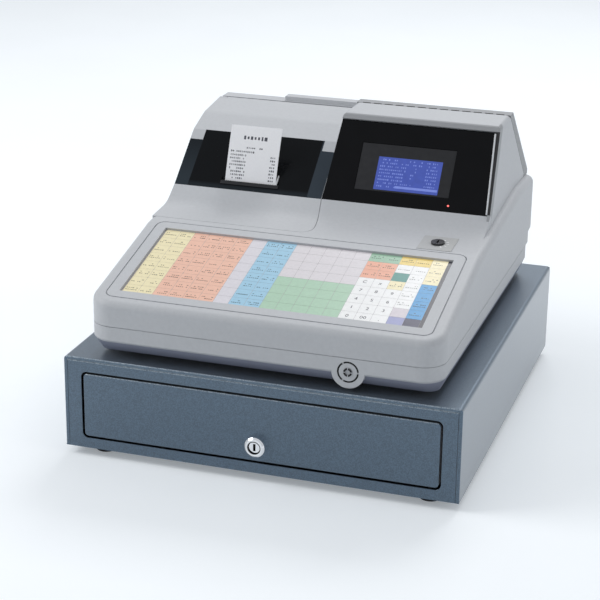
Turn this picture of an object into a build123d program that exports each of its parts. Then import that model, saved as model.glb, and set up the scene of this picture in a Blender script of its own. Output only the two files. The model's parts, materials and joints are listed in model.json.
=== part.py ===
from build123d import *
import math
import os

# A cash register on its own cash drawer. Millimetres, +Z up, +X to the right seen from the front,
# -Y is the operator's side. The origin is on the ground, in the middle of the outline.

# ---------------------------------------------------------------- cash drawer cabinet
cabinet_width = 410.0
cabinet_depth = 438.0
cabinet_height = 98.0
foot_height = 9.0
foot_radius = 11.5
foot_taper = 1.0
foot_inset_x = 34.0
foot_inset_y = 24.0
foot_well_radius = 5.5
foot_well_depth = 4.5
sheet = 1.2
cover_lip = 3.6
cover_bend = 4.0
rear_lip = 14.0
frame_seam = 0.4
frame_return = 8.0
edge_round = 1.0
flange_height = 62.0
pan_seam = 0.15
cable_hole_radius = 8.0
cable_hole_x = 120.0
cable_hole_height = 55.0
screw_radius = 2.0
screw_play = 0.1
screw_head_radius = 3.6
screw_head_height = 1.1

# ---------------------------------------------------------------- drawer opening and front
frame_post = 18.5
frame_head = 15.2
opening_sill = 10.8
opening_corner = 6.0
drawer_gap = 2.2
front_thickness = 13.0
front_corner = 4.0

# ---------------------------------------------------------------- drawer slides
drawer_rear_space = 72.8
drawer_pan_side_gap = 12.3
drawer_pan_height = 62.0
drawer_pan_lift = 1.0
roller_radius = 7.0
roller_width = 7.0
roller_gap = 0.3
roller_hub_radius = 4.5
roller_hub_proud = 0.4
stub_radius = 2.5
stub_fit = 0.05
stub_head = 1.0
slide_height = 42.0
runner_flange = 13.5
runner_leg = 9.0
runner_rear_margin = 14.0
rail_flange = 10.8
rail_height = 17.0
front_roller_setback = 26.0
rear_roller_margin = 12.0
rail_side_gap = 1.7

# ---------------------------------------------------------------- drawer lock
lock_proud = 8.0
lock_height = 30.5
lock_flange_radius = 10.5
lock_flange_bevel = 1.6
lock_barrel_radius = 9.5
lock_plug_radius = 6.0
lock_fit = 0.06
lock_plug_recess = 1.5
keyhole_width = 1.8
keyhole_height = 7.5
keyhole_depth = 6.0
cam_thickness = 2.0
cam_reach = 25.0
cam_width = 9.0
cam_gap = 0.4

# ---------------------------------------------------------------- latch at the rear of the drawer
strike_width = 24.0
strike_reach = 22.0
strike_thickness = 2.0
strike_height = 41.0
strike_slot_width = 11.0
strike_slot_length = 9.0
strike_tab = 14.0
hook_thickness = 5.0
hook_arm = 26.0
hook_arm_height = 6.0
hook_nose = 4.5
hook_nose_length = 5.0
hook_drop = 1.2
hook_tail = 9.0
hook_hub_radius = 5.0
hook_pin_radius = 2.0
hook_fit = 0.05
bracket_wall = 1.5
bracket_gap = 0.5
bracket_foot = 10.0
solenoid_width = 22.0
solenoid_depth = 20.0
solenoid_height = 17.0
solenoid_coil_radius = 8.0

# ---------------------------------------------------------------- till
till_wall = 2.5
till_gap = 1.2
till_height = 53.0
till_corner = 6.0
bill_bay_length = 186.0
bill_bays = 4
coin_rows = 2
coin_columns = 4
coin_wall = 2.0
coin_gap = 0.8
coin_depth = 34.0
coin_cup_radius = 44.0
coin_rim = 3.0
clip_axle_radius = 2.0
clip_axle_drop = 8.0
clip_axle_setback = 9.0
clip_fit = 0.06
clip_width = 30.0
clip_thickness = 2.5
clip_hub_radius = 5.0
clip_arm = 112.0
clip_tip_gap = 1.0
clip_heel = 14.0

# ---------------------------------------------------------------- register housing
# Places on the register are (x, v, h): v runs back from its front face, h up from the cabinet's roof.
register_setback = 5.0
register_width = 363.0
register_depth = 432.0
register_wall = 2.6
base_lift = 5.0
base_band = 15.0
base_inset_front = 14.0
base_inset_side = 6.5
base_inset_rear = 0.0
base_corner = 13.0
parting_height = 34.9
groove_depth = 0.8
groove_height = 0.7
seam_mark_inset = 24.5
seam_mark_width = 0.7
rear_step = 24.0
rear_step_height = 48.0
plan_corner_front = 24.0
plan_corner_rear = 12.0
rim_round = 7.5
rim_low = 50.0
deck_angle = 12.7
deck_front_height = 59.9
apron_front = 160.0
apron_back = 213.0
apron_back_height = 99.8
apron_bend = 40.0
deck_bend = 60.0
cheek_crest = 358.0
cheek_crest_height = 112.5
cheek_rear_height = 109.0
cheek_width = 10.0
ramp_back = 236.3
ramp_height = 114.6
register_foot_radius = 9.0
register_foot_inset_x = 40.0
register_foot_inset_v = 40.0
boss_radius = 5.0
case_screw_radius = 1.5

# ---------------------------------------------------------------- keyboard
key_columns = 19
key_rows = 8
key_pitch_x = 16.3
key_pitch_y = 15.8
key_sheet_side = 0.35
keyboard_front = 24.0
surround_border = 11.5
surround_corner = 9.0
surround_groove = 1.4
bezel_flange = 1.4
bezel_thickness = 3.2
bezel_lip = 4.0
key_sheet_drop = 2.2
key_sheet_thickness = 1.0
keyboard_board_thickness = 1.6

# ---------------------------------------------------------------- mode lock
mode_plate_size = 36.0
mode_plate_inset = 51.1
mode_plate_v = 181.4
mode_plate_thickness = 1.6
mode_plate_proud = 0.4
mode_body_radius = 11.0
mode_body_depth = 24.0
mode_body_flange = 1.5
mode_plug_radius = 7.0
mode_plug_proud = 2.0
mode_fit = 0.06

# ---------------------------------------------------------------- operator display
display_gap = 0.7
display_side_inset = 9.3
display_draft = 5.0
display_angle = 53.1
display_window_length = 94.0
display_top_height = 196.5
hood_lip = 5.0
hood_top_depth = 45.0
hood_rear_v = 410.0
hood_wall = 3.0
hood_round = 5.0
window_recess = 2.5
window_thickness = 3.0
window_gap = 0.3
hood_side_lip = 3.0
lcd_width = 103.0
lcd_length = 53.5
lcd_offset = 7.45
lcd_up_window = 42.5
lcd_thickness = 8.0
lcd_recess = 0.6
cap_depth = 15.0
cap_gap = 1.2
cap_slot_pitch = 12.5
cap_slot_length = 9.0
cap_slot_height = 2.0
cap_slots = 13
customer_width = 130.0
customer_length = 34.0
customer_thickness = 2.4
customer_recess = 0.5

# ---------------------------------------------------------------- printer lid and its window
printer_width = 168.3
lid_gap = 0.5
lid_front_gap = 0.6
lid_front_setback = 12.0
lid_flare = 7.5
lid_flare_front = 190.0
lid_plan_corner = 13.0
lid_crown_bend = 30.0
lid_wall = 2.6
lid_side_inset = 1.2
printer_window_angle = 38.6
printer_window_length = 76.0
printer_window_side_length = 62.0
printer_window_tab = 15.0
printer_window_thickness = 2.4
printer_window_ledge = 14.0
upper_plate_length = 36.0
upper_plate_angle = 19.0
hinge_v = 380.0
hinge_height = 171.0
hinge_barrel = 8.5
hinge_gap = 0.6
hinge_sweep = 2.5
lid_rear_wall = 18.0
hinge_pin_radius = 3.0
hinge_fit = 0.06
hinge_lug_width = 9.0
rear_block_height = 178.5
rear_block_top = 18.0
ridge_inset = 75.3
ridge_rise = 5.0
paper_slot_up_window = 14.0
paper_slot_width = 3.0
paper_slot_side = 4.0
tear_bar_height = 5.0
tear_bar_thickness = 0.8
tear_tooth = 2.5

# ---------------------------------------------------------------- printer mechanism
paper_width = 58.0
slip_height = 59.0
slip_tail = 16.0
slip_thickness = 0.3
slip_angle = 71.0
platen_radius = 8.0
platen_side = 1.5
platen_journal_radius = 3.0
journal_fit = 0.05
nip_gap = 0.45
nip_drop = 27.0
frame_wall = 2.0
roll_radius = 36.0
roll_core_bore = 7.0
bucket_gap = 1.0
bucket_wall = 2.5
roll_v = 322.0
roll_h = 98.0
gear_module = 1.0
platen_teeth = 22
idler_teeth = 24
pinion_teeth = 14
gear_width = 5.0
gear_backlash = 0.16
gear_addendum = 0.85
gear_dedendum = 1.15
pressure_angle = 20.0
idler_angle = 205.0
pinion_angle = 270.0
idler_pin_radius = 2.0
motor_radius = 15.0
motor_length = 22.0
motor_shaft_radius = 1.5
head_thickness = 6.0
head_height = 22.0

# ---------------------------------------------------------------- clerk-key reader
reader_inset = 91.3
reader_height = 20.3
reader_radius = 16.6
reader_tab_depth = 16.0
reader_length = 22.0
reader_ring_radius = 10.8
reader_ring_width = 1.6
reader_ring_depth = 6.0
reader_contact_radius = 4.4
reader_contact_proud = 1.0
reader_contact_length = 9.0
reader_dimple_radius = 2.5
reader_collar = 1.0
reader_pocket_front = 5.0
reader_pocket_depth = 5.0
reader_fit = 0.1

# ---------------------------------------------------------------- electronics and sockets
board_width = 210.0
board_length = 150.0
board_thickness = 1.6
board_lift = 8.0
board_x = 60.0
board_v = 90.0
inlet_inset = 51.5
inlet_width = 47.5
inlet_height = 25.0
inlet_depth = 22.0
inlet_proud = 1.5
inlet_cavity_width = 24.0
inlet_cavity_height = 16.0
inlet_cavity_depth = 15.0
inlet_pin_pitch = 7.0
inlet_pin_rise = 2.0
inlet_pin_length = 9.0
socket_height = 13.0
socket_width = 31.0
socket_pitch = 46.0
sockets = 4
socket_x = -30.0
socket_proud = 3.0
socket_depth = 12.0
socket_cavity = 8.0
socket_wall = 2.0

# ---------------------------------------------------------------- places worked out from the sizes
front_y = lock_proud - (cabinet_depth + lock_proud) / 2
rear_y = front_y + cabinet_depth
floor_z = foot_height
roof_z = floor_z + cabinet_height
half_cabinet = cabinet_width / 2
sill_z = floor_z + opening_sill
opening_width = cabinet_width - 2 * frame_post
opening_height = cabinet_height - opening_sill - frame_head
front_low_z = sill_z + drawer_gap
front_high_z = sill_z + opening_height - drawer_gap
front_half = opening_width / 2 - drawer_gap
pan_front_y = front_y + front_thickness + sheet
pan_rear_y = rear_y - drawer_rear_space
pan_half = front_half - drawer_pan_side_gap
pan_low_z = front_low_z + drawer_pan_lift
pan_high_z = pan_low_z + drawer_pan_height
slide_z = floor_z + slide_height
wall_x = half_cabinet - sheet - pan_seam - sheet
runner_low_x = wall_x - sheet - runner_flange
channel_half = roller_radius + roller_gap
rail_under_z = slide_z + roller_radius
front_roller_z = rail_under_z - roller_gap - roller_radius
front_roller_y = front_y + front_roller_setback
rear_roller_y = pan_rear_y - rear_roller_margin
rear_roller_x = (runner_low_x + wall_x - sheet) / 2
rail_x = pan_half + sheet
front_roller_x = rail_x + rail_side_gap + roller_width / 2
lock_z = floor_z + lock_height
lock_barrel_depth = frame_return + cam_gap
strike_z = floor_z + strike_height
hook_pivot_y = pan_rear_y + strike_reach - hook_nose_length + hook_arm - strike_slot_length / 2
hook_pivot_z = strike_z - hook_drop - hook_nose - hook_arm_height / 2
till_half = pan_half - till_gap
till_front_y = pan_front_y + sheet + till_gap
till_rear_y = pan_rear_y - sheet - till_gap
till_low_z = pan_low_z + sheet
till_floor_z = till_low_z + till_wall
till_high_z = till_low_z + till_height
till_divider_y = till_rear_y - till_wall - bill_bay_length - till_wall
bay_width = (2 * (till_half - till_wall) - (bill_bays - 1) * till_wall) / bill_bays
clip_axle_y = till_rear_y - till_wall - clip_axle_setback
clip_axle_z = till_high_z - clip_axle_drop
register_y = front_y + register_setback
half_register = register_width / 2
hood_low = rear_step_height + 2 * register_wall
lid_left = -half_register + lid_side_inset
lid_right = lid_left + printer_width
paper_x = (lid_left + lid_right) / 2
printer_window_left = lid_left
ridge_left = lid_left + ridge_inset
display_left = lid_right + display_gap
display_right = half_register - display_side_inset
display_x = (display_left + display_right) / 2
lcd_x = display_x - lcd_offset
mode_plate_x = half_register - mode_plate_inset
reader_x = half_register - reader_inset
inlet_x = -half_register + inlet_inset
seam_mark_x = half_register - seam_mark_inset
base_rear_v = register_depth - rear_step
deck_slope = math.radians(deck_angle)
apron_front_height = deck_front_height + apron_front * math.tan(deck_slope)
keyboard_width = key_columns * key_pitch_x + 2 * key_sheet_side
keyboard_length = key_rows * key_pitch_y + 2 * key_sheet_side
keyboard_mid_v = keyboard_front + keyboard_length / 2 * math.cos(deck_slope)
keyboard_mid_h = deck_front_height + keyboard_mid_v * math.tan(deck_slope)
window_slope = math.radians(display_angle)
window_rise = display_window_length * math.sin(window_slope)
lid_slope = math.radians(printer_window_angle)
paper_angle = math.radians(slip_angle)
slot_v = ramp_back + paper_slot_up_window * math.cos(lid_slope)
slot_h = ramp_height + paper_slot_up_window * math.sin(lid_slope)
nip_v = slot_v - nip_drop / math.tan(paper_angle)
nip_h = slot_h - nip_drop
platen_v = nip_v + (platen_radius + nip_gap) * math.sin(paper_angle)
platen_h = nip_h - (platen_radius + nip_gap) * math.cos(paper_angle)
idler_distance = gear_module * (platen_teeth + idler_teeth) / 2
pinion_distance = gear_module * (idler_teeth + pinion_teeth) / 2
idler_v = platen_v + idler_distance * math.cos(math.radians(idler_angle))
idler_h = platen_h + idler_distance * math.sin(math.radians(idler_angle))
pinion_v = idler_v + pinion_distance * math.cos(math.radians(pinion_angle))
pinion_h = idler_h + pinion_distance * math.sin(math.radians(pinion_angle))
paper_left = paper_x - paper_width / 2
paper_right = paper_x + paper_width / 2
gear_x = paper_right + platen_side + 2 * frame_wall


# ---------------------------------------------------------------- forms used by many pieces
def block(x, y, z):
    """A box between the low and high values of each axis."""
    size = [high - low for low, high in (x, y, z)]
    middle = [(high + low) / 2 for low, high in (x, y, z)]
    return Pos(*middle) * Box(*size)


def mirrored(shape):
    """The shape and its copy on the other side of the middle plane."""
    return [shape, shape.mirror(Plane.YZ)]


def side_prism(outline, x):
    """A prism whose outline is seen from the side, between two values of x."""
    face = Plane.YZ * outline
    return extrude(Pos(x[0], 0, 0) * face, amount=x[1] - x[0])


def front_prism(outline, y):
    """A prism whose outline is seen from the front, between two values of y."""
    face = Plane.XZ * outline
    return extrude(Pos(0, y[1], 0) * face, amount=y[1] - y[0])


def polygon(*points):
    return make_face(Polyline(*points, close=True))


def rod_x(radius, x, y, z):
    return Pos((x[0] + x[1]) / 2, y, z) * Cylinder(radius, x[1] - x[0], rotation=(0, 90, 0))


def rod_y(radius, x, y, z):
    return Pos(x, (y[0] + y[1]) / 2, z) * Cylinder(radius, y[1] - y[0], rotation=(90, 0, 0))


def rod_z(radius, x, y, z):
    return Pos(x, y, (z[0] + z[1]) / 2) * Cylinder(radius, z[1] - z[0])


def ring_x(radius, bore, x, y, z):
    return rod_x(radius, x, y, z) - rod_x(bore, x, y, z)


def on_register(shape):
    """Moves a shape from the register's own places (x, v, h) to the whole object's."""
    return Pos(0, register_y, roof_z) * shape


def save(name, solids):
    """Writes one sub-part, a single solid or a group of alike solids."""
    pieces = solids if isinstance(solids, list) else [solids]
    found = [solid for piece in pieces for solid in piece.solids()]
    shape = found[0] if len(found) == 1 else Compound(children=found)
    export_step(shape, f"parts/{name}.step")
    print(name, len(found), "solid" if len(found) == 1 else "solids")


# ---------------------------------------------------------------- cabinet
def cabinet_section(inset, bottom):
    """The cabinet's front outline, moved inwards by inset, with rounded top edges."""
    radius = max(cover_bend - inset, sheet / 4)
    low = Pos(0, (bottom + roof_z - inset) / 2)
    face = low * Rectangle(2 * (half_cabinet - inset), roof_z - inset - bottom)
    top = face.vertices().sort_by(Axis.Y)[-2:]
    return fillet(top, radius)


def cabinet_cover():
    bottom = floor_z + sheet + pan_seam
    skin = front_prism(cabinet_section(0, bottom), (front_y, rear_y))
    skin -= front_prism(cabinet_section(sheet, bottom - sheet), (front_y - sheet, rear_y + sheet))
    lip = front_prism(cabinet_section(0, bottom), (front_y, front_y + sheet))
    lip -= front_prism(cabinet_section(cover_lip, bottom - sheet), (front_y - sheet, front_y + 2 * sheet))
    cover = skin + lip
    cover = fillet([edge for edge in cover.edges() if is_cover_rim(edge)], edge_round)
    side = (half_cabinet - rear_lip, half_cabinet - sheet / 2)
    height = (bottom, roof_z - sheet / 2)
    for strip in mirrored(block(side, (rear_y - sheet, rear_y), height)):
        cover += strip
    for x, z in rear_screw_places():
        cover -= rod_y(screw_head_radius + screw_play, x, (rear_y - 2 * sheet, rear_y + sheet), z)
    return cover


def is_cover_rim(edge):
    """True for the outer edges of the cover's front."""
    ends = (edge @ 0, edge @ 1)
    in_front = all(abs(end.Y - front_y) < sheet / 4 for end in ends)
    middle = edge @ 0.5
    return in_front and (abs(middle.X) > half_cabinet - cover_lip / 2 or middle.Z > roof_z - cover_lip / 2) \
        and edge.length > sheet + cover_lip


def rear_screw_places():
    x = half_cabinet - rear_lip / 2
    low = floor_z + cabinet_height / 5
    high = roof_z - cabinet_height / 5
    return [(side * x, z) for side in (-1, 1) for z in (low, high)]


def cabinet_front_frame():
    half = half_cabinet - cover_lip - frame_seam
    top = roof_z - cover_lip - frame_seam
    low = floor_z + sheet
    plate = block((-half, half), (front_y, front_y + sheet), (low, top))
    returns = block((-half, half), (front_y, front_y + frame_return), (low, top))
    returns -= block((-half + sheet, half - sheet), (front_y, front_y + frame_return),
                     (low + sheet, top - sheet))
    middle = Pos(0, sill_z + opening_height / 2)
    opening = middle * RectangleRounded(opening_width, opening_height, opening_corner)
    frame = plate + returns - front_prism(opening, (front_y - sheet, front_y + 2 * sheet))
    rim = [edge for edge in frame.edges() if is_opening_rim(edge)]
    return fillet(rim, edge_round / 2)


def is_opening_rim(edge):
    """True for the front edges round the drawer's opening."""
    middle = edge @ 0.5
    near = abs(middle.X) < opening_width / 2 + sheet / 4 and sill_z - sheet / 4 < middle.Z
    return near and middle.Z < sill_z + opening_height + sheet / 4 and abs(middle.Y - front_y) < sheet / 4 \
        and abs((edge @ 0).Y - (edge @ 1).Y) < sheet / 4


def foot_places():
    x = half_cabinet - foot_inset_x
    return [(side * x, y) for side in (-1, 1) for y in (front_y + foot_inset_y, rear_y - foot_inset_y)]


def cabinet_base_pan():
    half = half_cabinet - sheet - pan_seam
    floor = block((-half_cabinet, half_cabinet), (front_y, rear_y), (floor_z, floor_z + sheet))
    wall = block((half - sheet, half), (front_y + frame_return, rear_y - 2 * sheet),
                 (floor_z, floor_z + flange_height))
    lip = block((-half, half), (rear_y - 3 * sheet, rear_y - 2 * sheet), (floor_z, floor_z + rear_lip))
    pan = floor + lip
    for flange in mirrored(wall):
        pan += flange
    for x, y in foot_places():
        pan -= rod_z(screw_radius + screw_play, x, y, (0, floor_z + 2 * sheet))
    for x, z in rear_screw_places():
        pan -= rod_y(screw_radius + screw_play, x, (rear_y - 4 * sheet, rear_y), z)
    return pan


def cabinet_rear_panel():
    """The rear wall with its turned-in top, between the pan's lip and the cover."""
    inside = cabinet_section(sheet + pan_seam, floor_z + sheet)
    panel = front_prism(inside, (rear_y - 2 * sheet, rear_y - sheet))
    tab = front_prism(inside, (rear_y - frame_return, rear_y - sheet))
    tab -= block((-half_cabinet, half_cabinet), (rear_y - 2 * frame_return, rear_y),
                 (floor_z - sheet, roof_z - 2 * sheet - pan_seam))
    panel += tab
    hole_z = floor_z + cable_hole_height
    panel -= rod_y(cable_hole_radius, cable_hole_x, (rear_y - 3 * sheet, rear_y), hole_z)
    for x, z in rear_screw_places():
        panel -= rod_y(screw_radius + screw_play, x, (rear_y - 3 * sheet, rear_y), z)
    return panel


def cabinet_feet():
    feet = []
    for x, y in foot_places():
        foot = Pos(x, y, foot_height / 2) * Cone(foot_radius - foot_taper, foot_radius, foot_height)
        foot -= rod_z(foot_well_radius, x, y, (0, foot_well_depth))
        foot -= rod_z(screw_radius + screw_play, x, y, (0, foot_height))
        feet.append(foot)
    return feet


def cabinet_screws():
    screws = []
    for x, y in foot_places():
        head_top = foot_well_depth
        screw = rod_z(screw_head_radius, x, y, (head_top - 2 * screw_head_height, head_top))
        screws.append(screw + rod_z(screw_radius, x, y, (head_top - sheet, floor_z + 4 * sheet)))
    for x, z in rear_screw_places():
        screw = rod_y(screw_head_radius, x, (rear_y - sheet, rear_y - sheet + screw_head_height), z)
        screws.append(screw + rod_y(screw_radius, x, (rear_y - 6 * sheet, rear_y - sheet / 2), z))
    return screws


def cabinet_runners():
    """Folded angles below and above the rollers, with a welded stud for each front roller."""
    length = (front_y + frame_return + sheet, rear_roller_y + runner_rear_margin)
    track = slide_z - channel_half
    lower = block((runner_low_x, wall_x), length, (track - sheet, track))
    lower += block((wall_x - sheet, wall_x), length, (track - runner_leg, track))
    upper = lower.mirror(Plane.XY.offset(slide_z))
    end = front_roller_x - roller_width / 2 - roller_hub_proud - stub_head
    stud = rod_x(stub_radius, (end, wall_x), front_roller_y, front_roller_z)
    stud += rod_x(roller_hub_radius - stub_head, (end, end + stub_head), front_roller_y, front_roller_z)
    return mirrored(lower) + mirrored(upper) + mirrored(stud)


def roller(x, y, z):
    """A grooved nylon wheel with a slightly proud hub."""
    half = roller_width / 2
    wheel = rod_x(roller_radius, (x - half, x + half), y, z)
    rims = wheel.edges().filter_by(GeomType.CIRCLE)
    wheel = chamfer(rims, roller_width / 10)
    wheel += rod_x(roller_hub_radius, (x - half - roller_hub_proud, x + half + roller_hub_proud), y, z)
    return wheel - rod_x(stub_radius + stub_fit, (x - roller_width, x + roller_width), y, z)


def cabinet_rollers():
    return mirrored(roller(front_roller_x, front_roller_y, front_roller_z))


def drawer_rollers():
    return mirrored(roller(rear_roller_x, rear_roller_y, slide_z))


# ---------------------------------------------------------------- drawer
def drawer_front():
    middle = Pos(0, (front_low_z + front_high_z) / 2)
    height = front_high_z - front_low_z
    outer = middle * RectangleRounded(2 * front_half, height, front_corner)
    inner = middle * RectangleRounded(2 * (front_half - sheet), height - 2 * sheet, front_corner - sheet)
    panel = front_prism(outer, (front_y, front_y + front_thickness))
    panel = fillet(panel.faces().sort_by(Axis.Y)[0].edges(), edge_round)
    panel -= front_prism(inner, (front_y + sheet, front_y + front_thickness + sheet))
    panel -= rod_y(lock_barrel_radius + screw_play, 0, (front_y - sheet, front_y + 2 * sheet), lock_z)
    sweep = cam_reach * math.sqrt(1 - ((lock_z - front_low_z) / cam_reach) ** 2)
    window = (-cam_width / 2 - cam_gap, sweep + cam_width)
    panel -= block(window, (front_y + sheet, front_y + front_thickness + sheet),
                   (front_low_z - sheet, front_low_z + 2 * sheet))
    return panel


def drawer_pan():
    outer = block((-pan_half, pan_half), (pan_front_y - sheet, pan_rear_y), (pan_low_z, pan_high_z))
    inner = block((-pan_half + sheet, pan_half - sheet), (pan_front_y, pan_rear_y - sheet),
                  (pan_low_z + sheet, pan_high_z + sheet))
    return outer - inner


def drawer_rails():
    """Z-section rails with a rivet stub for the rear roller."""
    length = (pan_front_y, pan_rear_y)
    top = rail_under_z + sheet
    web = block((pan_half, rail_x), length, (top - rail_height, top))
    flange = block((pan_half, rail_x + rail_flange), length, (rail_under_z, top))
    stub_end = rear_roller_x + roller_width / 2 + roller_hub_proud + stub_head
    stub = rod_x(stub_radius, (pan_half + sheet / 2, stub_end), rear_roller_y, slide_z)
    stub += rod_x(roller_hub_radius - stub_head, (stub_end - stub_head, stub_end), rear_roller_y, slide_z)
    return mirrored(web + flange + stub)


def drawer_strike():
    """The plate at the back of the drawer that the latch hook holds."""
    half = strike_width / 2
    back = block((-half, half), (pan_rear_y, pan_rear_y + strike_thickness),
                 (strike_z - strike_tab, strike_z + strike_thickness))
    tongue = block((-half, half), (pan_rear_y, pan_rear_y + strike_reach),
                   (strike_z, strike_z + strike_thickness))
    slot_end = pan_rear_y + strike_reach - strike_thickness
    slot = block((-strike_slot_width / 2, strike_slot_width / 2), (slot_end - strike_slot_length, slot_end),
                 (strike_z - strike_thickness, strike_z + 2 * strike_thickness))
    return back + tongue - slot


def lock_housing():
    nose = rod_y(lock_flange_radius, 0, (front_y - lock_proud, front_y), lock_z)
    nose = chamfer(nose.edges().filter_by(GeomType.CIRCLE).sort_by(Axis.Y)[0], lock_flange_bevel)
    barrel = rod_y(lock_barrel_radius, 0, (front_y - sheet, front_y + lock_barrel_depth), lock_z)
    bore = rod_y(lock_plug_radius + lock_fit, 0, (front_y - 2 * lock_proud, front_y + front_thickness),
                 lock_z)
    return nose + barrel - bore


def lock_plug():
    face = front_y - lock_proud + lock_plug_recess
    tail = front_y + lock_barrel_depth
    plug = rod_y(lock_plug_radius, 0, (face, tail + cam_gap), lock_z)
    tang = lock_plug_radius / 2
    plug += block((-tang, tang), (tail, tail + cam_gap + cam_thickness), (lock_z - tang, lock_z + tang))
    key = block((-keyhole_width / 2, keyhole_width / 2), (face, face + keyhole_depth),
                (lock_z - keyhole_height / 2, lock_z + keyhole_height / 2))
    return plug - key


def lock_cam():
    start = front_y + lock_barrel_depth + cam_gap
    tang = lock_plug_radius / 2
    half = cam_width / 2
    arm = block((0, cam_reach - half), (start, start + cam_thickness), (lock_z - half, lock_z + half))
    arm += rod_y(half, cam_reach - half, (start, start + cam_thickness), lock_z)
    arm += rod_y(lock_plug_radius, 0, (start, start + cam_thickness), lock_z)
    return arm - block((-tang, tang), (start, start + cam_thickness), (lock_z - tang, lock_z + tang))


# ---------------------------------------------------------------- latch
def latch_bracket():
    inner = hook_thickness / 2 + bracket_gap
    outer = inner + bracket_wall
    ear_y = (hook_pivot_y - hook_hub_radius - bracket_gap, hook_pivot_y + hook_hub_radius + bracket_gap)
    ear = block((inner, outer), ear_y, (floor_z + sheet, hook_pivot_z + hook_hub_radius))
    foot = block((inner, outer + bracket_foot), ear_y, (floor_z + sheet, floor_z + sheet + bracket_wall))
    tie = block((-outer, outer), (ear_y[0], ear_y[1]), (floor_z + sheet, floor_z + sheet + bracket_wall))
    bracket = tie
    for side in mirrored(ear + foot):
        bracket += side
    return bracket + rod_x(hook_pin_radius, (-outer, outer), hook_pivot_y, hook_pivot_z)


def latch_hook():
    """The catch at its released height: the nose is just under the strike."""
    half = hook_thickness / 2
    arm_z = (hook_pivot_z - hook_arm_height / 2, hook_pivot_z + hook_arm_height / 2)
    tip_y = hook_pivot_y - hook_arm
    outline = polygon(
        (tip_y, arm_z[0]),
        (hook_pivot_y + hook_tail, arm_z[0]),
        (hook_pivot_y + hook_tail, arm_z[1]),
        (tip_y + hook_nose_length, arm_z[1]),
        (tip_y + hook_nose_length, arm_z[1] + hook_nose),
        (tip_y + hook_nose_length / 2, arm_z[1] + hook_nose),
        (tip_y, arm_z[1] + hook_nose / 2),
    )
    hook = side_prism(outline, (-half, half))
    hook += rod_x(hook_hub_radius, (-half, half), hook_pivot_y, hook_pivot_z)
    return hook - rod_x(hook_pin_radius + hook_fit, (-half, half), hook_pivot_y, hook_pivot_z)


def latch_solenoid():
    """The coil in its steel yoke, under the hook's arm."""
    rear = hook_pivot_y - hook_hub_radius - 2 * bracket_gap
    low = floor_z + sheet
    half = solenoid_width / 2
    length = (rear - solenoid_depth, rear)
    yoke = block((-half, half), length, (low, low + solenoid_height))
    middle_y = rear - solenoid_depth / 2
    top = low + solenoid_height - bracket_wall
    yoke -= block((-half - sheet, half + sheet), (length[0] + bracket_wall, length[1] - bracket_wall),
                  (low + bracket_wall, top))
    return yoke + rod_z(solenoid_coil_radius, 0, middle_y, (low + bracket_wall / 2, top + bracket_wall / 2))


# ---------------------------------------------------------------- till
def bay_edges():
    """Low and high x of each bill bay, from the left."""
    step = bay_width + till_wall
    start = -till_half + till_wall
    return [(start + i * step, start + i * step + bay_width) for i in range(bill_bays)]


def till_tray():
    length = till_rear_y - till_front_y
    middle = Pos(0, (till_front_y + till_rear_y) / 2)
    outline = middle * RectangleRounded(2 * till_half, length, till_corner)
    tray = Pos(0, 0, till_low_z) * extrude(outline, amount=till_height)
    bay_y = (till_divider_y + till_wall, till_rear_y - till_wall)
    for x in bay_edges():
        tray -= block(x, bay_y, (till_floor_z, till_high_z + till_wall))
    tray -= block((-till_half + till_wall, till_half - till_wall),
                  (till_front_y + till_wall, till_divider_y),
                  (till_floor_z, till_high_z + till_wall))
    axle = (-till_half + till_wall / 2, till_half - till_wall / 2)
    return tray - rod_x(clip_axle_radius, axle, clip_axle_y, clip_axle_z)


def clip_axle():
    return rod_x(clip_axle_radius, (-till_half + till_wall / 2, till_half - till_wall / 2), clip_axle_y,
                 clip_axle_z)


def coin_tray_box():
    """Low and high x, y and z of the lift-out coin tray."""
    half = till_half - till_wall - coin_gap
    return (-half, half), (till_front_y + till_wall + coin_gap, till_divider_y - coin_gap), (till_floor_z,
                                                                                             till_high_z)


def coin_cup_boxes():
    """Low and high x and y of each cup's mouth."""
    x, y, z = coin_tray_box()
    width = (x[1] - x[0] - 2 * coin_rim - (coin_columns - 1) * coin_wall) / coin_columns
    length = (y[1] - y[0] - 2 * coin_rim - (coin_rows - 1) * coin_wall) / coin_rows
    cups = []
    for row in range(coin_rows):
        for column in range(coin_columns):
            left = x[0] + coin_rim + column * (width + coin_wall)
            front = y[0] + coin_rim + row * (length + coin_wall)
            cups.append(((left, left + width), (front, front + length)))
    return cups


def coin_scoop(x, y, top, grow):
    """A cup with a round bottom, made larger all round by grow."""
    wide = (x[0] - grow, x[1] + grow)
    long = (y[0] - grow, y[1] + grow)
    pocket = block(wide, long, (top - coin_depth - grow, top))
    centre = top - coin_depth + coin_cup_radius
    return pocket & rod_x(coin_cup_radius + grow, wide, (y[0] + y[1]) / 2, centre)


def coin_tray():
    x, y, z = coin_tray_box()
    top = z[1]
    tray = block(x, y, z)
    tray -= block((x[0] + coin_wall, x[1] - coin_wall), (y[0] + coin_wall, y[1] - coin_wall),
                  (z[0] - coin_wall, top - coin_wall))
    for cup_x, cup_y in coin_cup_boxes():
        tray += coin_scoop(cup_x, cup_y, top, coin_wall)
    for cup_x, cup_y in coin_cup_boxes():
        tray -= coin_scoop(cup_x, cup_y, top + coin_wall / 2, 0)
    return tray


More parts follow.
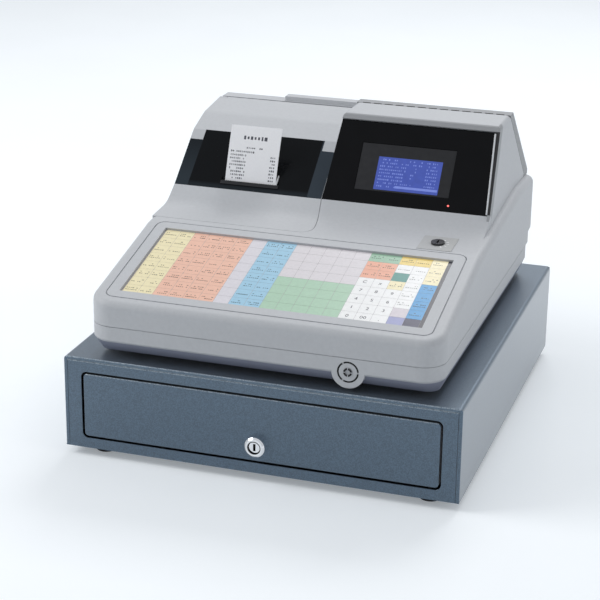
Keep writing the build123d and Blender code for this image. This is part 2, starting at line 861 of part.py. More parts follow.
def bill_clip(x):
    """A sprung arm that presses the notes down, resting just above the bay's floor."""
    middle = (x[0] + x[1]) / 2
    wide = (middle - clip_width / 2, middle + clip_width / 2)
    foot_z = till_floor_z + clip_tip_gap
    tip_y = clip_axle_y - clip_arm
    half = clip_thickness / 2
    path = Polyline(
        (clip_axle_y, clip_axle_z),
        (tip_y + clip_heel, foot_z + half),
        (tip_y, foot_z + half + clip_heel / 4),
    )
    arm = side_prism(make_face(offset(path, amount=half, kind=Kind.INTERSECTION).edges()), wide)
    arm += rod_x(clip_hub_radius, wide, clip_axle_y, clip_axle_z)
    return arm - rod_x(clip_axle_radius + clip_fit, wide, clip_axle_y, clip_axle_z)


# ---------------------------------------------------------------- register housing
def plan(half, front, rear, front_corner, rear_corner):
    """A rectangle seen from above, with its own corner radii at the front and the rear."""
    outline = Pos(0, (front + rear) / 2) * Rectangle(2 * half, rear - front)
    outline = fillet(outline.vertices().sort_by(Axis.Y)[:2], front_corner)
    return fillet(outline.vertices().sort_by(Axis.Y)[-2:], rear_corner)


def base_form(inset):
    """The lower housing's outside moved inwards by inset, with its undercut band."""
    corners = (plan_corner_front - inset, plan_corner_rear - inset)
    side = half_register - base_inset_side - inset
    low_corners = (base_corner - inset, corners[1])
    low = plan(side, base_inset_front + inset, base_rear_v - base_inset_rear - inset, *low_corners)
    high = plan(half_register - inset, inset, base_rear_v - inset, *corners)
    band_top = base_lift + base_band
    band = loft([Pos(0, 0, base_lift + inset) * low, Pos(0, 0, band_top) * high], ruled=True)
    return band + extrude(Pos(0, 0, band_top) * high, amount=parting_height + inset - band_top)


def boss_places():
    x = half_register - base_inset_side - 2 * boss_radius
    return [(side * x, v) for side in (-1, 1) for v in (register_foot_inset_v * 2,
                                                        base_rear_v - register_foot_inset_v)]


def register_foot_places():
    x = half_register - register_foot_inset_x
    rear = base_rear_v - register_foot_inset_v
    return [(side * x, v) for side in (-1, 1) for v in (register_foot_inset_v, rear)]


def reader_tab():
    """The round tab on the base that carries the reader, flush with the front."""
    tab = rod_y(reader_radius, reader_x, (0, reader_tab_depth), reader_height)
    return tab & block((-half_register, half_register), (0, register_depth), (0, parting_height))


def seam_groove():
    """The shadow line under the upper housing, with the small mark at its right."""
    outer = plan(register_width, -1, base_rear_v + 1, plan_corner_front, plan_corner_rear)
    inner = plan(half_register - groove_depth, groove_depth, base_rear_v - groove_depth,
                 plan_corner_front - groove_depth, plan_corner_rear - groove_depth)
    low = parting_height - groove_height
    groove = Pos(0, 0, low) * extrude(outer - inner, amount=2 * groove_height)
    mark = (seam_mark_x - seam_mark_width / 2, seam_mark_x + seam_mark_width / 2)
    return groove + block(mark, (-1, groove_depth), (low - 2 * groove_height, parting_height))


def base_case():
    upper = block((-register_width, register_width), (-1, register_depth),
                  (parting_height, 2 * parting_height))
    case = base_form(0) - base_form(register_wall) - upper
    for x, v in boss_places():
        case += rod_z(boss_radius, x, v, (base_lift, parting_height))
        case -= rod_z(case_screw_radius + screw_play, x, v, (0, parting_height))
        case -= rod_z(screw_head_radius, x, v, (0, base_lift + 2 * screw_head_height))
    case += reader_tab()
    case -= rod_y(reader_ring_radius + reader_fit, reader_x, (-1, reader_length), reader_height)
    case -= seam_groove()
    rear = (base_rear_v - 2 * register_wall, base_rear_v + register_wall)
    middle = socket_middle_height()
    body = inlet_cavity_width / 2 + socket_wall
    case -= block((inlet_x - body - screw_play, inlet_x + body + screw_play), rear,
                  (middle - inlet_cavity_height / 2 - socket_wall - screw_play,
                   middle + inlet_cavity_height / 2 + socket_wall + screw_play))
    for x in socket_places():
        case -= block((x - socket_width / 2 - screw_play, x + socket_width / 2 + screw_play), rear,
                      (middle - socket_height / 2 - screw_play, middle + socket_height / 2 + screw_play))
    return on_register(case)


def register_feet():
    return [on_register(rod_z(register_foot_radius, x, v, (0, base_lift))) for x,
            v in register_foot_places()]


def case_screws():
    screws = []
    for x, v in boss_places():
        seat = base_lift + 2 * screw_head_height
        head = rod_z(screw_head_radius - screw_play, x, v, (seat - screw_head_height, seat))
        screws.append(on_register(head + rod_z(case_screw_radius, x, v,
                                               (seat, parting_height + 3 * boss_radius))))
    return screws


def case_profile():
    """The upper housing seen from the side: front, keyboard deck, apron, cheek and stepped rear."""
    profile = polygon(
        (0, parting_height),
        (0, deck_front_height),
        (apron_front, apron_front_height),
        (apron_back, apron_back_height),
        (cheek_crest, cheek_crest_height),
        (register_depth, cheek_rear_height),
        (register_depth, rear_step_height + register_wall),
        (base_rear_v, rear_step_height),
        (base_rear_v, parting_height),
    )
    return softened(profile, (apron_front, apron_front_height), deck_bend)


def softened(face, place, radius):
    """Rounds the outline's corner nearest to a place."""
    corner = face.vertices().sort_by_distance(Vector(*place, 0))[0]
    return fillet(corner, radius)


def apron_height(v):
    share = (v - apron_front) / (apron_back - apron_front)
    return apron_front_height + share * (apron_back_height - apron_front_height)


def cheek_height(v):
    share = (v - apron_back) / (cheek_crest - apron_back)
    return apron_back_height + share * (cheek_crest_height - apron_back_height)


def case_form(inset):
    """The upper housing's outside, moved inwards by inset."""
    profile = case_profile()
    if inset:
        profile = offset(profile, amount=-inset, kind=Kind.INTERSECTION)
        profile += Pos(0, -2 * inset) * profile
    body = side_prism(profile, (-half_register, half_register))
    outline = plan(half_register - inset, inset, register_depth - inset,
                   plan_corner_front - inset, plan_corner_rear - inset)
    body = body & extrude(outline, amount=2 * cheek_crest_height)
    return body


def rounded_case_form():
    """The upper housing's outside with its soft top rim."""
    body = case_form(0)
    top = [edge for edge in body.edges() if is_rim(edge)]
    return fillet(top, rim_round)


def is_rim(edge):
    """True for the edges between the top and the sides or the front corners."""
    middle = edge @ 0.5
    ends = (edge @ 0, edge @ 1)
    upright = abs(ends[0].X - ends[1].X) < 0.1 and abs(ends[0].Y - ends[1].Y) < 0.1
    outside = abs(abs(middle.X) - half_register) < 0.1 or middle.Y < plan_corner_front
    return outside and not upright and middle.Z > rim_low and middle.Y < register_depth - plan_corner_rear


def rear_block_profile(inset):
    low = apron_back_height - register_wall
    return polygon(
        (hinge_v + inset, low),
        (hinge_v + inset, rear_block_height - inset),
        (hinge_v + hinge_barrel + rear_block_top, rear_block_height - inset),
        (register_depth - inset, cheek_rear_height),
        (register_depth - inset, low),
    )


def rear_block():
    """The fixed rear of the printer's housing, with the lid's hinge lugs and its ridge."""
    left = lid_left
    sweep = hinge_barrel + hinge_sweep
    body = side_prism(rear_block_profile(0), (left, lid_right))
    ridge = side_prism(polygon(
        (hinge_v + sweep, rear_block_height - ridge_rise),
        (hinge_v + sweep + hinge_gap, rear_block_height + ridge_rise),
        (hinge_v + hinge_barrel + rear_block_top - ridge_rise / 2, rear_block_height + ridge_rise),
        (hinge_v + hinge_barrel + rear_block_top, rear_block_height - ridge_rise),
    ), (ridge_left, lid_right))
    body += ridge
    behind_lid = block((left, lid_right), (hinge_v, hinge_v + sweep), (hinge_height, hinge_height + sweep))
    body -= rod_x(sweep, (left, lid_right), hinge_v, hinge_height) & behind_lid
    body += rod_x(hinge_barrel, (left, left + hinge_lug_width), hinge_v, hinge_height)
    body += rod_x(hinge_barrel, (lid_right - hinge_lug_width, lid_right), hinge_v, hinge_height)
    seat = (left + hinge_lug_width, lid_right - hinge_lug_width)
    body -= rod_x(sweep, seat, hinge_v, hinge_height)
    body -= block(seat, (hinge_v - hinge_barrel, hinge_v), (hinge_height, 2 * hinge_height))
    return body


def rear_block_hollow():
    left = lid_left + register_wall
    low = hinge_height - hinge_barrel - hinge_sweep - register_wall
    hollow = side_prism(rear_block_profile(register_wall), (left, lid_right - register_wall))
    behind = hinge_v + hinge_barrel + hinge_sweep + register_wall
    keep = block((left, lid_right), (hinge_v, behind), (low, 2 * hinge_height))
    return hollow - keep


def deck_plane():
    """On the keyboard's slope, centred on the keys, with y up the slope."""
    return Plane(origin=(0, keyboard_mid_v, keyboard_mid_h), x_dir=(1, 0, 0),
                 z_dir=(0, -math.sin(deck_slope), math.cos(deck_slope)))


def apron_plane():
    """On the flat apron, centred on the mode lock."""
    slope = math.atan2(apron_back_height - apron_front_height, apron_back - apron_front)
    height = apron_front_height + (mode_plate_v - apron_front) * math.tan(slope)
    return Plane(origin=(mode_plate_x, mode_plate_v, height), x_dir=(1, 0, 0),
                 z_dir=(0, -math.sin(slope), math.cos(slope)))


def lid_plane():
    """On the printer window's slope, with y up the slope from its lower edge."""
    return Plane(origin=(0, ramp_back, ramp_height), x_dir=(1, 0, 0),
                 z_dir=(0, -math.sin(lid_slope), math.cos(lid_slope)))


def window_plane():
    """On the display window's slope, with y up the slope from its lower edge."""
    return Plane(origin=(0, ramp_back, ramp_height), x_dir=(1, 0, 0),
                 z_dir=(0, -math.sin(window_slope), math.cos(window_slope)))


def slab(plane, outline, low, high):
    """A plate on a sloping plane, between two heights above it."""
    return extrude(plane * (Pos(0, 0, low) * outline), amount=high - low)


def rect(x, y):
    """A flat rectangle between the low and high values of x and y."""
    return Pos((x[0] + x[1]) / 2, (y[0] + y[1]) / 2) * Rectangle(x[1] - x[0], y[1] - y[0])


def bezel_outline(grow, corner):
    wide = keyboard_width + 2 * (surround_border + grow)
    long = keyboard_length + 2 * (surround_border + grow)
    return RectangleRounded(wide, long, corner)


def display_ramp():
    """The slope up to the display window's lower edge, on the upper housing."""
    start = (apron_front + apron_back) / 2
    outline = polygon(
        (start, apron_height(start) - register_wall),
        (start, apron_height(start)),
        (apron_back, apron_back_height),
        (ramp_back, ramp_height),
        (ramp_back + 2 * register_wall, ramp_height),
        (ramp_back + 2 * register_wall, apron_height(start) - register_wall),
    )
    outline = softened(outline, (apron_back, apron_back_height), apron_bend)
    return side_prism(outline, (display_left, display_right)) - lid_plan_prism(lid_gap)


def lid_plan_prism(grow):
    """The lid's outline seen from above, made larger by grow, with its flared right edge."""
    left = lid_left - 2 * lid_side_inset
    front = lid_front_v() - grow
    right = lid_right + grow
    wide = right + lid_flare
    outline = polygon((left, front), (wide, front), (wide, lid_flare_front), (right, ramp_back),
                      (right, register_depth), (left, register_depth))
    outline = softened(outline, (wide, front), lid_plan_corner + grow)
    outline = softened(outline, (wide, lid_flare_front), apron_bend)
    return extrude(outline, amount=2 * hinge_height)


def upper_case():
    case = rounded_case_form() + display_ramp() + rear_block()
    case -= case_form(register_wall)
    case -= rear_block_hollow()
    deck = deck_plane()
    flange = bezel_flange
    case -= slab(deck, bezel_outline(surround_groove, surround_corner + surround_groove), -flange,
                 bezel_thickness)
    case -= slab(deck, bezel_outline(-bezel_lip, surround_corner - bezel_lip), -4 * register_wall, 0)
    apron = apron_plane()
    seat = mode_plate_thickness - mode_plate_proud
    size = mode_plate_size + 2 * screw_play
    case -= slab(apron, Rectangle(size, size), -seat, mode_plate_thickness)
    case -= slab(apron, Circle(mode_body_radius + screw_play), -4 * register_wall, 0)
    lid_low = lid_low_height()
    case -= lid_plan_prism(lid_front_gap) & block((-register_width, register_width),
                                                  (apron_front, lid_step_v()),
                                                  (lid_low - screw_play, 2 * hinge_height))
    case -= block((-half_register + cheek_width, lid_right - register_wall),
                  (lid_step_v() - cheek_width, hinge_v),
                  (apron_back_height / 2, cheek_crest_height + register_wall))
    case -= block((display_left + 2 * cheek_width, display_right - cheek_width),
                  (ramp_back + 2 * cheek_width, hood_rear_v - 3 * cheek_width),
                  (apron_back_height / 2, cheek_crest_height + register_wall))
    for x in (lid_left, lid_right - hinge_lug_width):
        case -= rod_x(hinge_pin_radius + hinge_fit, (x - 1, x + hinge_lug_width + 1), hinge_v, hinge_height)
    for x, v in boss_places():
        top = parting_height + 4 * boss_radius
        side = 1 if x > 0 else -1
        rib = sorted((x, side * (half_register - register_wall / 2)))
        case += rod_z(boss_radius, x, v, (parting_height, top))
        case += block(rib, (v - register_wall / 2, v + register_wall / 2), (parting_height, top))
        case -= rod_z(case_screw_radius, x, v, (parting_height, top - register_wall))
    return on_register(case)


def lid_front_v():
    return apron_front + lid_front_setback


def lid_step_v():
    return apron_back + register_wall


def lid_low_height():
    return apron_height(lid_front_v()) - lid_wall - lid_gap


# ---------------------------------------------------------------- keyboard
def keyboard_bezel():
    deck = deck_plane()
    frame = slab(deck, bezel_outline(0, surround_corner), -bezel_flange, 0)
    depth = key_sheet_drop + key_sheet_thickness
    frame += slab(deck, bezel_outline(-bezel_lip - screw_play, surround_corner - bezel_lip), -depth, 0)
    window = Rectangle(keyboard_width + 2 * screw_play, keyboard_length + 2 * screw_play)
    return on_register(frame - slab(deck, window, -2 * depth, depth))


def key_sheet():
    outline = Rectangle(keyboard_width, keyboard_length)
    low = -key_sheet_drop - key_sheet_thickness
    return on_register(slab(deck_plane(), outline, low, -key_sheet_drop))


def keyboard_board():
    border = 2 * (surround_border - bezel_lip) - 2 * bezel_lip
    outline = Rectangle(keyboard_width + border, keyboard_length + border)
    high = -key_sheet_drop - key_sheet_thickness
    return on_register(slab(deck_plane(), outline, high - keyboard_board_thickness, high))


# ---------------------------------------------------------------- mode lock
def mode_lock_plate():
    plate = Rectangle(mode_plate_size, mode_plate_size) - Circle(mode_plug_radius + screw_play)
    return on_register(slab(apron_plane(), plate, mode_plate_proud - mode_plate_thickness,
                            mode_plate_proud))


def mode_lock_body():
    top = mode_plate_proud - mode_plate_thickness
    body = slab(apron_plane(), Circle(mode_body_radius), top - mode_body_depth, top)
    bore = Circle(mode_plug_radius + mode_fit)
    return on_register(body - slab(apron_plane(), bore, top - mode_body_depth + mode_body_flange, top + 1))


def mode_lock_plug():
    top = mode_plate_proud - mode_plate_thickness
    low = top - mode_body_depth + mode_body_flange + screw_play
    high = mode_plate_proud + mode_plug_proud
    plug = slab(apron_plane(), Circle(mode_plug_radius), low, high)
    slot = Rectangle(keyhole_width, keyhole_height)
    return on_register(plug - slab(apron_plane(), slot, high - keyhole_depth, high + 1))


# ---------------------------------------------------------------- operator display
def window_point(up, out):
    """Side place of a point up the display window's slope and out from its surface."""
    v = ramp_back + up * math.cos(window_slope) - out * math.sin(window_slope)
    h = ramp_height + up * math.sin(window_slope) + out * math.cos(window_slope)
    return v, h


def display_front_view(inset):
    """The hood seen from the front: upright below the window, then tapering."""
    low = hood_low
    left = display_left + inset
    right = display_right - inset
    taper = display_draft * (display_top_height - ramp_height) / window_rise
    high = display_top_height - inset
    return polygon((left, low), (left, ramp_height), (left + taper, high),
                   (right - taper, high), (right, ramp_height), (right, low))


def hood_profile():
    toe = window_point(-3 * hood_lip, window_recess)
    brow = window_point(display_window_length + hood_lip, window_recess)
    low = hood_low
    return polygon(
        (toe[0], low),
        toe,
        brow,
        (brow[0] + hood_lip / 2, display_top_height),
        (window_point(display_window_length, 0)[0] + hood_top_depth + hood_lip, display_top_height),
        (hood_rear_v, ramp_height),
        (hood_rear_v, low),
    )


def hood_inside():
    back = window_recess + window_thickness + hood_wall
    toe = window_point(-4 * hood_lip, window_recess - back)
    brow = window_point(display_window_length, window_recess - back)
    low = hood_low - hood_wall
    high = display_top_height - hood_wall
    corner = window_point(display_window_length, 0)[0] + hood_top_depth + hood_lip - 2 * hood_wall
    outline = polygon((toe[0], low), toe, brow, (brow[0] + hood_lip, high), (corner, high),
                      (hood_rear_v - 2 * hood_wall, ramp_height - hood_wall), (hood_rear_v - 2 * hood_wall,
                                                                               low))
    long = (-register_depth, 2 * register_depth)
    return side_prism(outline, (display_left, display_right)) & front_prism(display_front_view(hood_wall),
                                                                            long)


def window_outline(left_inset, right_inset, low, high):
    """The display window's trapezium on its slope."""
    taper = display_draft / display_window_length
    left = display_left + left_inset
    right = display_right - right_inset
    return polygon((left + taper * low, low), (left + taper * high, high),
                   (right - taper * high, high), (right - taper * low, low))


def display_hood():
    body = side_prism(hood_profile(), (display_left, display_right))
    body = body & front_prism(display_front_view(0), (-register_depth, 2 * register_depth))
    crown = [edge for edge in body.edges() if is_crown(edge)]
    body = fillet(crown, hood_round)
    body -= hood_inside()
    plane = window_plane()
    recess = window_outline(-hood_lip, hood_side_lip, -4 * hood_lip, display_window_length)
    body -= slab(plane, recess, -window_thickness, 4 * window_thickness)
    ledge = hood_side_lip + hood_lip
    hollow = window_outline(ledge, ledge, -4 * hood_lip, display_window_length - hood_lip)
    body -= slab(plane, hollow, -6 * window_thickness, 0)
    body -= case_form(0) + display_ramp()
    body -= lid_plan_prism(lid_gap)
    return on_register(body)


def is_crown(edge):
    """True for the hood's long top side edges and its sloping rear side edges."""
    ends = (edge @ 0, edge @ 1)
    high = min(ends[0].Z, ends[1].Z) > display_top_height - 1
    runs_back = abs(ends[0].Y - ends[1].Y) > hood_top_depth / 2
    return high and runs_back


def display_window():
    outline = window_outline(0, hood_side_lip + window_gap, 0, display_window_length - window_gap)
    plate = slab(window_plane(), outline, -window_thickness, 0)
    plate -= slab(window_plane(), lcd_outline(window_gap), -2 * window_thickness, window_thickness)
    return on_register(plate - display_ramp() - case_form(0))


def lcd_outline(grow):
    return Pos(lcd_x, lcd_up_window) * Rectangle(lcd_width + 2 * grow, lcd_length + 2 * grow)


def lcd_module():
    """The glass in its metal frame, on a carrier that spans the hood's ledges."""
    glass = slab(window_plane(), lcd_outline(0), -lcd_recess - lcd_thickness, -lcd_recess)
    carrier = rect((display_left + 2 * hood_wall + hood_lip, display_right - 2 * hood_wall - hood_lip),
                   (lcd_up_window - hood_lip, lcd_up_window + hood_lip))
    low = -window_thickness - hood_wall
    return on_register(glass + slab(window_plane(), carrier, low - window_thickness, low))


def cap_profile():
    corner = window_point(display_window_length, 0)[0] + hood_top_depth + hood_lip + cap_gap
    low = hood_low
    return polygon(
        (corner, display_top_height),
        (corner + cap_depth, display_top_height),
        (register_depth - 1, ramp_height),
        (register_depth - 1, low),
        (hood_rear_v + cap_gap, low),
        (hood_rear_v + cap_gap, ramp_height),
    )


def cap_plane():
    """On the cap's sloping rear face, with y down the slope."""
    corner = window_point(display_window_length, 0)[0] + hood_top_depth + hood_lip + cap_gap + cap_depth
    run = register_depth - 1 - corner
    drop = display_top_height - ramp_height
    length = math.hypot(run, drop)
    middle = (corner + run / 2, display_top_height - drop / 2)
    normal = (0, drop / length, run / length)
    return Plane(origin=((display_left + display_right) / 2, *middle), x_dir=(-1, 0, 0), z_dir=normal)


def rear_cap():
    body = side_prism(cap_profile(), (display_left, display_right))
    body = body & front_prism(display_front_view(0), (-register_depth, 2 * register_depth))
    body -= case_form(0)
    front = window_point(display_window_length, 0)[0] + hood_top_depth + hood_lip
    middle = (display_left + display_right) / 2
    for i in range(cap_slots):
        x = middle + (i - (cap_slots - 1) / 2) * cap_slot_pitch
        body -= block((x - cap_slot_length / 2, x + cap_slot_length / 2),
                      (front, front + cap_gap + cap_slot_height),
                      (display_top_height - cap_slot_length, display_top_height + 1))
    pocket = Rectangle(customer_width + 2 * screw_play, customer_length + 2 * screw_play)
    return on_register(body - slab(cap_plane(), pocket, -customer_recess - customer_thickness, cap_depth))


def customer_display():
    outline = Rectangle(customer_width, customer_length)
    return on_register(slab(cap_plane(), outline, -customer_recess - customer_thickness, -customer_recess))


# ---------------------------------------------------------------- printer lid
def lid_top():
    """Side places along the lid's top, from its front edge to the hinge barrel."""
    window_end = (ramp_back + printer_window_length * math.cos(lid_slope),
                  ramp_height + printer_window_length * math.sin(lid_slope))
    plate = math.radians(upper_plate_angle)
    plate_end = (window_end[0] + upper_plate_length * math.cos(plate),
                 window_end[1] + upper_plate_length * math.sin(plate))
    return [(lid_front_v(), apron_height(lid_front_v())), (apron_back, apron_back_height),
            (ramp_back, ramp_height),
            window_end, plate_end, (hinge_v, hinge_height + hinge_barrel)]


def lid_outside():
    """The lid's outer surface seen from the side, carried down to the register's underside."""
    outline = polygon((lid_front_v(), 0), *lid_top(), (hinge_v, 0))
    outline = softened(outline, (apron_back, apron_back_height), apron_bend)
    return softened(outline, lid_top()[-2], lid_crown_bend)


def lid_profile():
    step = lid_step_v() - lid_gap
    crest = cheek_crest_height + lid_gap
    front = lid_front_v() - lid_wall
    rear = hinge_v + lid_wall
    below = polygon((front, -lid_wall), (front, lid_low_height()), (step, lid_low_height()),
                    (step, cheek_height(lid_step_v()) + lid_gap), (cheek_crest, crest), (rear, crest),
                    (rear, -lid_wall))
    return lid_outside() - below


def printer_window_outline(grow):
    """The window with its taller middle, on the lid's slope."""
    left = printer_window_left
    right = lid_right - lid_gap / 2
    side = printer_window_side_length + grow
    top = printer_window_length + grow
    tab = printer_window_tab - grow
    return polygon((left, -grow), (left, side), (left + tab, side), (left + tab, top),
                   (right - tab, top), (right - tab, side), (right, side), (right, -grow))


def printer_cover():
    left = lid_left
    right = lid_right
    lid = side_prism(lid_profile(), (left, right + lid_flare)) & lid_plan_prism(0)
    inner = Pos(lid_wall, -lid_wall) * lid_outside() & Pos(-lid_wall, -lid_wall) * lid_outside()
    lid -= side_prism(inner, (left + lid_wall, right - lid_wall))
    lug = hinge_lug_width
    lid += rod_x(hinge_barrel, (left + lug + hinge_gap, right - lug - hinge_gap), hinge_v, hinge_height)
    for x in (left, right - lug):
        lid -= rod_x(hinge_barrel + hinge_gap, (x - hinge_gap, x + lug + hinge_gap), hinge_v, hinge_height)
    for x in ((left + hinge_gap, left + lug + 2 * hinge_gap),
              (right - lug - 2 * hinge_gap, right - hinge_gap)):
        lid += rod_x(hinge_pin_radius, x, hinge_v, hinge_height)
    under_barrel = hinge_height - hinge_barrel - hinge_gap
    lid -= block((left - 1, right + 1), (hinge_v - hinge_gap, register_depth), (0, under_barrel))
    lid -= block((left - 1, right + 1), (hinge_v - 2 * lid_wall, register_depth),
                 (0, hinge_height - lid_rear_wall))
    plane = lid_plane()
    lid -= slab(plane, printer_window_outline(lid_gap / 2), -2 * lid_wall, printer_window_thickness)
    reach = printer_window_side_length + lid_gap / 2
    left_ledge = (left + lid_wall / 2, left + printer_window_ledge)
    right_ledge = (right - printer_window_ledge, right - lid_wall / 2)
    top = -printer_window_thickness
    for x in (left_ledge, right_ledge):
        lid += slab(plane, rect(x, (-lid_gap, reach)), top - lid_wall, top)
    return on_register(lid)


def printer_window():
    plate = slab(lid_plane(), printer_window_outline(0), -printer_window_thickness, 0)
    reach = nip_drop / math.sin(paper_angle)
    half = paper_slot_width / 2
    ends = (reach - 4 * printer_window_thickness, reach + 4 * printer_window_thickness)
    slot = polygon(paper_point(ends[0], -half), paper_point(ends[1], -half),
                   paper_point(ends[1], half), paper_point(ends[0], half))
    side = paper_slot_side
    return on_register(plate - side_prism(slot, (paper_left - side, paper_right + side)))


def tear_bar():
    """A saw-toothed strip along the lower edge of the paper slot."""
    left = paper_left - paper_slot_side
    right = paper_right + paper_slot_side
    top = paper_slot_up_window - paper_slot_width / 2 / math.sin(paper_angle - lid_slope)
    strip = rect((left, right), (top - tear_bar_height, top - tear_tooth / 2))
    count = int((right - left) / tear_tooth)
    pitch = (right - left) / count
    teeth = [(left, top - tear_tooth)]
    for i in range(count):
        teeth += [(left + i * pitch, top - tear_tooth / 2), (left + (i + 0.5) * pitch, top)]
    teeth += [(right, top - tear_tooth / 2), (right, top - tear_tooth)]
    return on_register(slab(lid_plane(), strip + polygon(*teeth), 0, tear_bar_thickness))


def paper_point(along, out=0.0):
    """Side place of a point up the paper's line from the nip, and out towards the front."""
    v = nip_v + along * math.cos(paper_angle) - out * math.sin(paper_angle)
    h = nip_h + along * math.sin(paper_angle) + out * math.cos(paper_angle)
    return v, h


def paper_strip(*points):
    """A thin strip of paper that follows a side line."""
    path = Polyline(*points)
    outline = make_face(offset(path, amount=slip_thickness / 2, kind=Kind.INTERSECTION).edges())
    return side_prism(outline, (paper_left, paper_right))


def receipt_slip():
    to_slot = nip_drop / math.sin(paper_angle)
    end = to_slot + slip_height
    bow = slip_height / 20
    tail = Line(paper_point(to_slot - slip_tail), paper_point(to_slot + paper_slot_width))
    curl = TangentArc(tail @ 1, paper_point(end, -bow), tangent=tail % 1)
    outline = make_face(offset(tail + curl, amount=slip_thickness / 2).edges())
    return on_register(side_prism(outline, (paper_left, paper_right)))


# ---------------------------------------------------------------- printer mechanism
def gear(teeth, phase, x, v, h, bore):
    """An involute spur gear with a tooth centred on the phase angle."""
    pitch_radius = gear_module * teeth / 2
    base_radius = pitch_radius * math.cos(math.radians(pressure_angle))
    tip_radius = pitch_radius + gear_addendum * gear_module
    root_radius = pitch_radius - gear_dedendum * gear_module
    half_tooth = math.pi / (2 * teeth) - gear_backlash / (2 * pitch_radius)
    steps = 2
    radii = [max(base_radius, root_radius) + i * (tip_radius - max(base_radius, root_radius)) / steps
             for i in range(steps + 1)]
    flank = [(root_radius, half_tooth + involute(pitch_radius, base_radius))]
    flank += [(r,
               half_tooth + involute(pitch_radius, base_radius) - involute(r, base_radius)) for r in radii]
    points = []
    for tooth in range(teeth):
        centre = math.radians(phase) + tooth * 2 * math.pi / teeth
        rise = [(r, centre - angle) for r, angle in flank]
        fall = [(r, centre + angle) for r, angle in reversed(flank)]
        points += [(v + r * math.cos(a), h + r * math.sin(a)) for r, a in rise + fall]
    wheel = side_prism(polygon(*points), x)
    return wheel - rod_x(bore, (x[0] - 1, x[1] + 1), v, h)


def involute(radius, base_radius):
    """The involute function of the pressure angle at a radius."""
    angle = math.acos(min(1.0, base_radius / radius))
    return math.tan(angle) - angle


def gear_span():
    return gear_x, gear_x + gear_width


def idler_phase():
    """A gap of the idler faces the platen gear's tooth."""
    return idler_angle + 180 + 180 / idler_teeth


def pinion_phase():
    """A gap of the pinion faces the nearest idler tooth."""
    pitch = 360 / idler_teeth
    lead = (idler_phase() - pinion_angle) % pitch
    lead = lead - pitch if lead > pitch / 2 else lead
    return pinion_angle + 180 - lead * idler_teeth / pinion_teeth + 180 / pinion_teeth


def platen_gear():
    return on_register(gear(platen_teeth, idler_angle, gear_span(), platen_v, platen_h,
                            platen_journal_radius))


def idler_gear():
    bore = idler_pin_radius + journal_fit
    return on_register(gear(idler_teeth, idler_phase(), gear_span(), idler_v, idler_h, bore))


def motor_pinion():
    """The pinion on the motor's shaft."""
    wheel = gear(pinion_teeth, pinion_phase(), gear_span(), pinion_v, pinion_h, motor_shaft_radius / 2)
    shaft = (gear_x, gear_x + gear_width + 2 * frame_wall + motor_length / 2)
    return on_register(wheel + rod_x(motor_shaft_radius, shaft, pinion_v, pinion_h))


def side_plate_places():
    """Low and high x of the two side plates, then of the motor's plate."""
    left = paper_left - platen_side
    right = paper_right + platen_side
    motor = gear_x + gear_width + frame_wall / 2
    return (left - frame_wall, left), (right, right + frame_wall), (motor, motor + frame_wall)


def platen_roller():
    side = platen_side / 2
    roller_body = rod_x(platen_radius, (paper_left - side, paper_right + side), platen_v, platen_h)
    journal = (paper_left - platen_side - 2 * frame_wall, gear_x + gear_width)
    return on_register(roller_body + rod_x(platen_journal_radius, journal, platen_v, platen_h))


def web_guide():
    """Side place where the paper turns up to the nip."""
    return paper_point(-nip_drop)


def web_line():
    """Slope and length of the paper from its turn to the underside of the roll."""
    v, h = web_guide()
    clear = roll_radius + roller_gap + slip_thickness
    distance = math.hypot(roll_v - v, roll_h - h)
    angle = math.atan2(roll_h - h, roll_v - v) - math.asin(clear / distance)
    return angle, math.sqrt(distance ** 2 - clear ** 2)


def guide_bar():
    """Side place of the bar inside the paper's turn."""
    v, h = web_guide()
    angle = web_line()[0]
    away = (frame_wall + roller_gap + slip_thickness) / math.sin((paper_angle - angle) / 2)
    middle = (paper_angle + angle) / 2
    return v + away * math.cos(middle), h + away * math.sin(middle)


def printer_frame():
    floor = base_lift + register_wall
    left, right, motor = side_plate_places()
    guide_v, guide_h = web_guide()
    front = idler_v - motor_radius - frame_wall
    rear = roll_v + roll_radius + bucket_gap + bucket_wall
    plate = polygon((front, floor), (front, platen_h), (guide_v, platen_h + platen_radius),
                    (platen_v + 2 * platen_radius, platen_h + platen_radius), (rear, roll_h), (rear, floor))
    frame = side_prism(plate, left) + side_prism(plate, right)
    frame += block((left[0], right[1]), (front, rear), (floor, floor + frame_wall))
    motor_plate = (front, idler_v + motor_radius + frame_wall)
    frame += block(motor, motor_plate, (floor, idler_h + 2 * frame_wall))
    frame += block((right[0], motor[1]), motor_plate, (floor, floor + frame_wall))
    cradle = ring_x(roll_radius + bucket_gap + bucket_wall, roll_radius + bucket_gap,
                    (left[1] - frame_wall / 2, right[0] + frame_wall / 2), roll_v, roll_h)
    half = roll_radius + bucket_gap + 2 * bucket_wall
    cradle = cradle & block((left[0], right[1]), (roll_v - bucket_wall, roll_v + half),
                            (roll_h - half, roll_h))
    frame += cradle
    bar = (left[0], right[1])
    frame += rod_x(frame_wall, bar, *guide_bar())
    frame += rod_x(frame_wall, bar, roll_v - roll_radius - 2 * frame_wall, roll_h)
    frame -= rod_x(platen_journal_radius + journal_fit, (left[0] - 1, right[1] + 1), platen_v, platen_h)
    frame -= rod_x(motor_shaft_radius + journal_fit, (motor[0] - 1, motor[1] + 1), pinion_v, pinion_h)
    frame += rod_x(idler_pin_radius, (right[0], gear_x + gear_width), idler_v, idler_h)
    return on_register(frame)


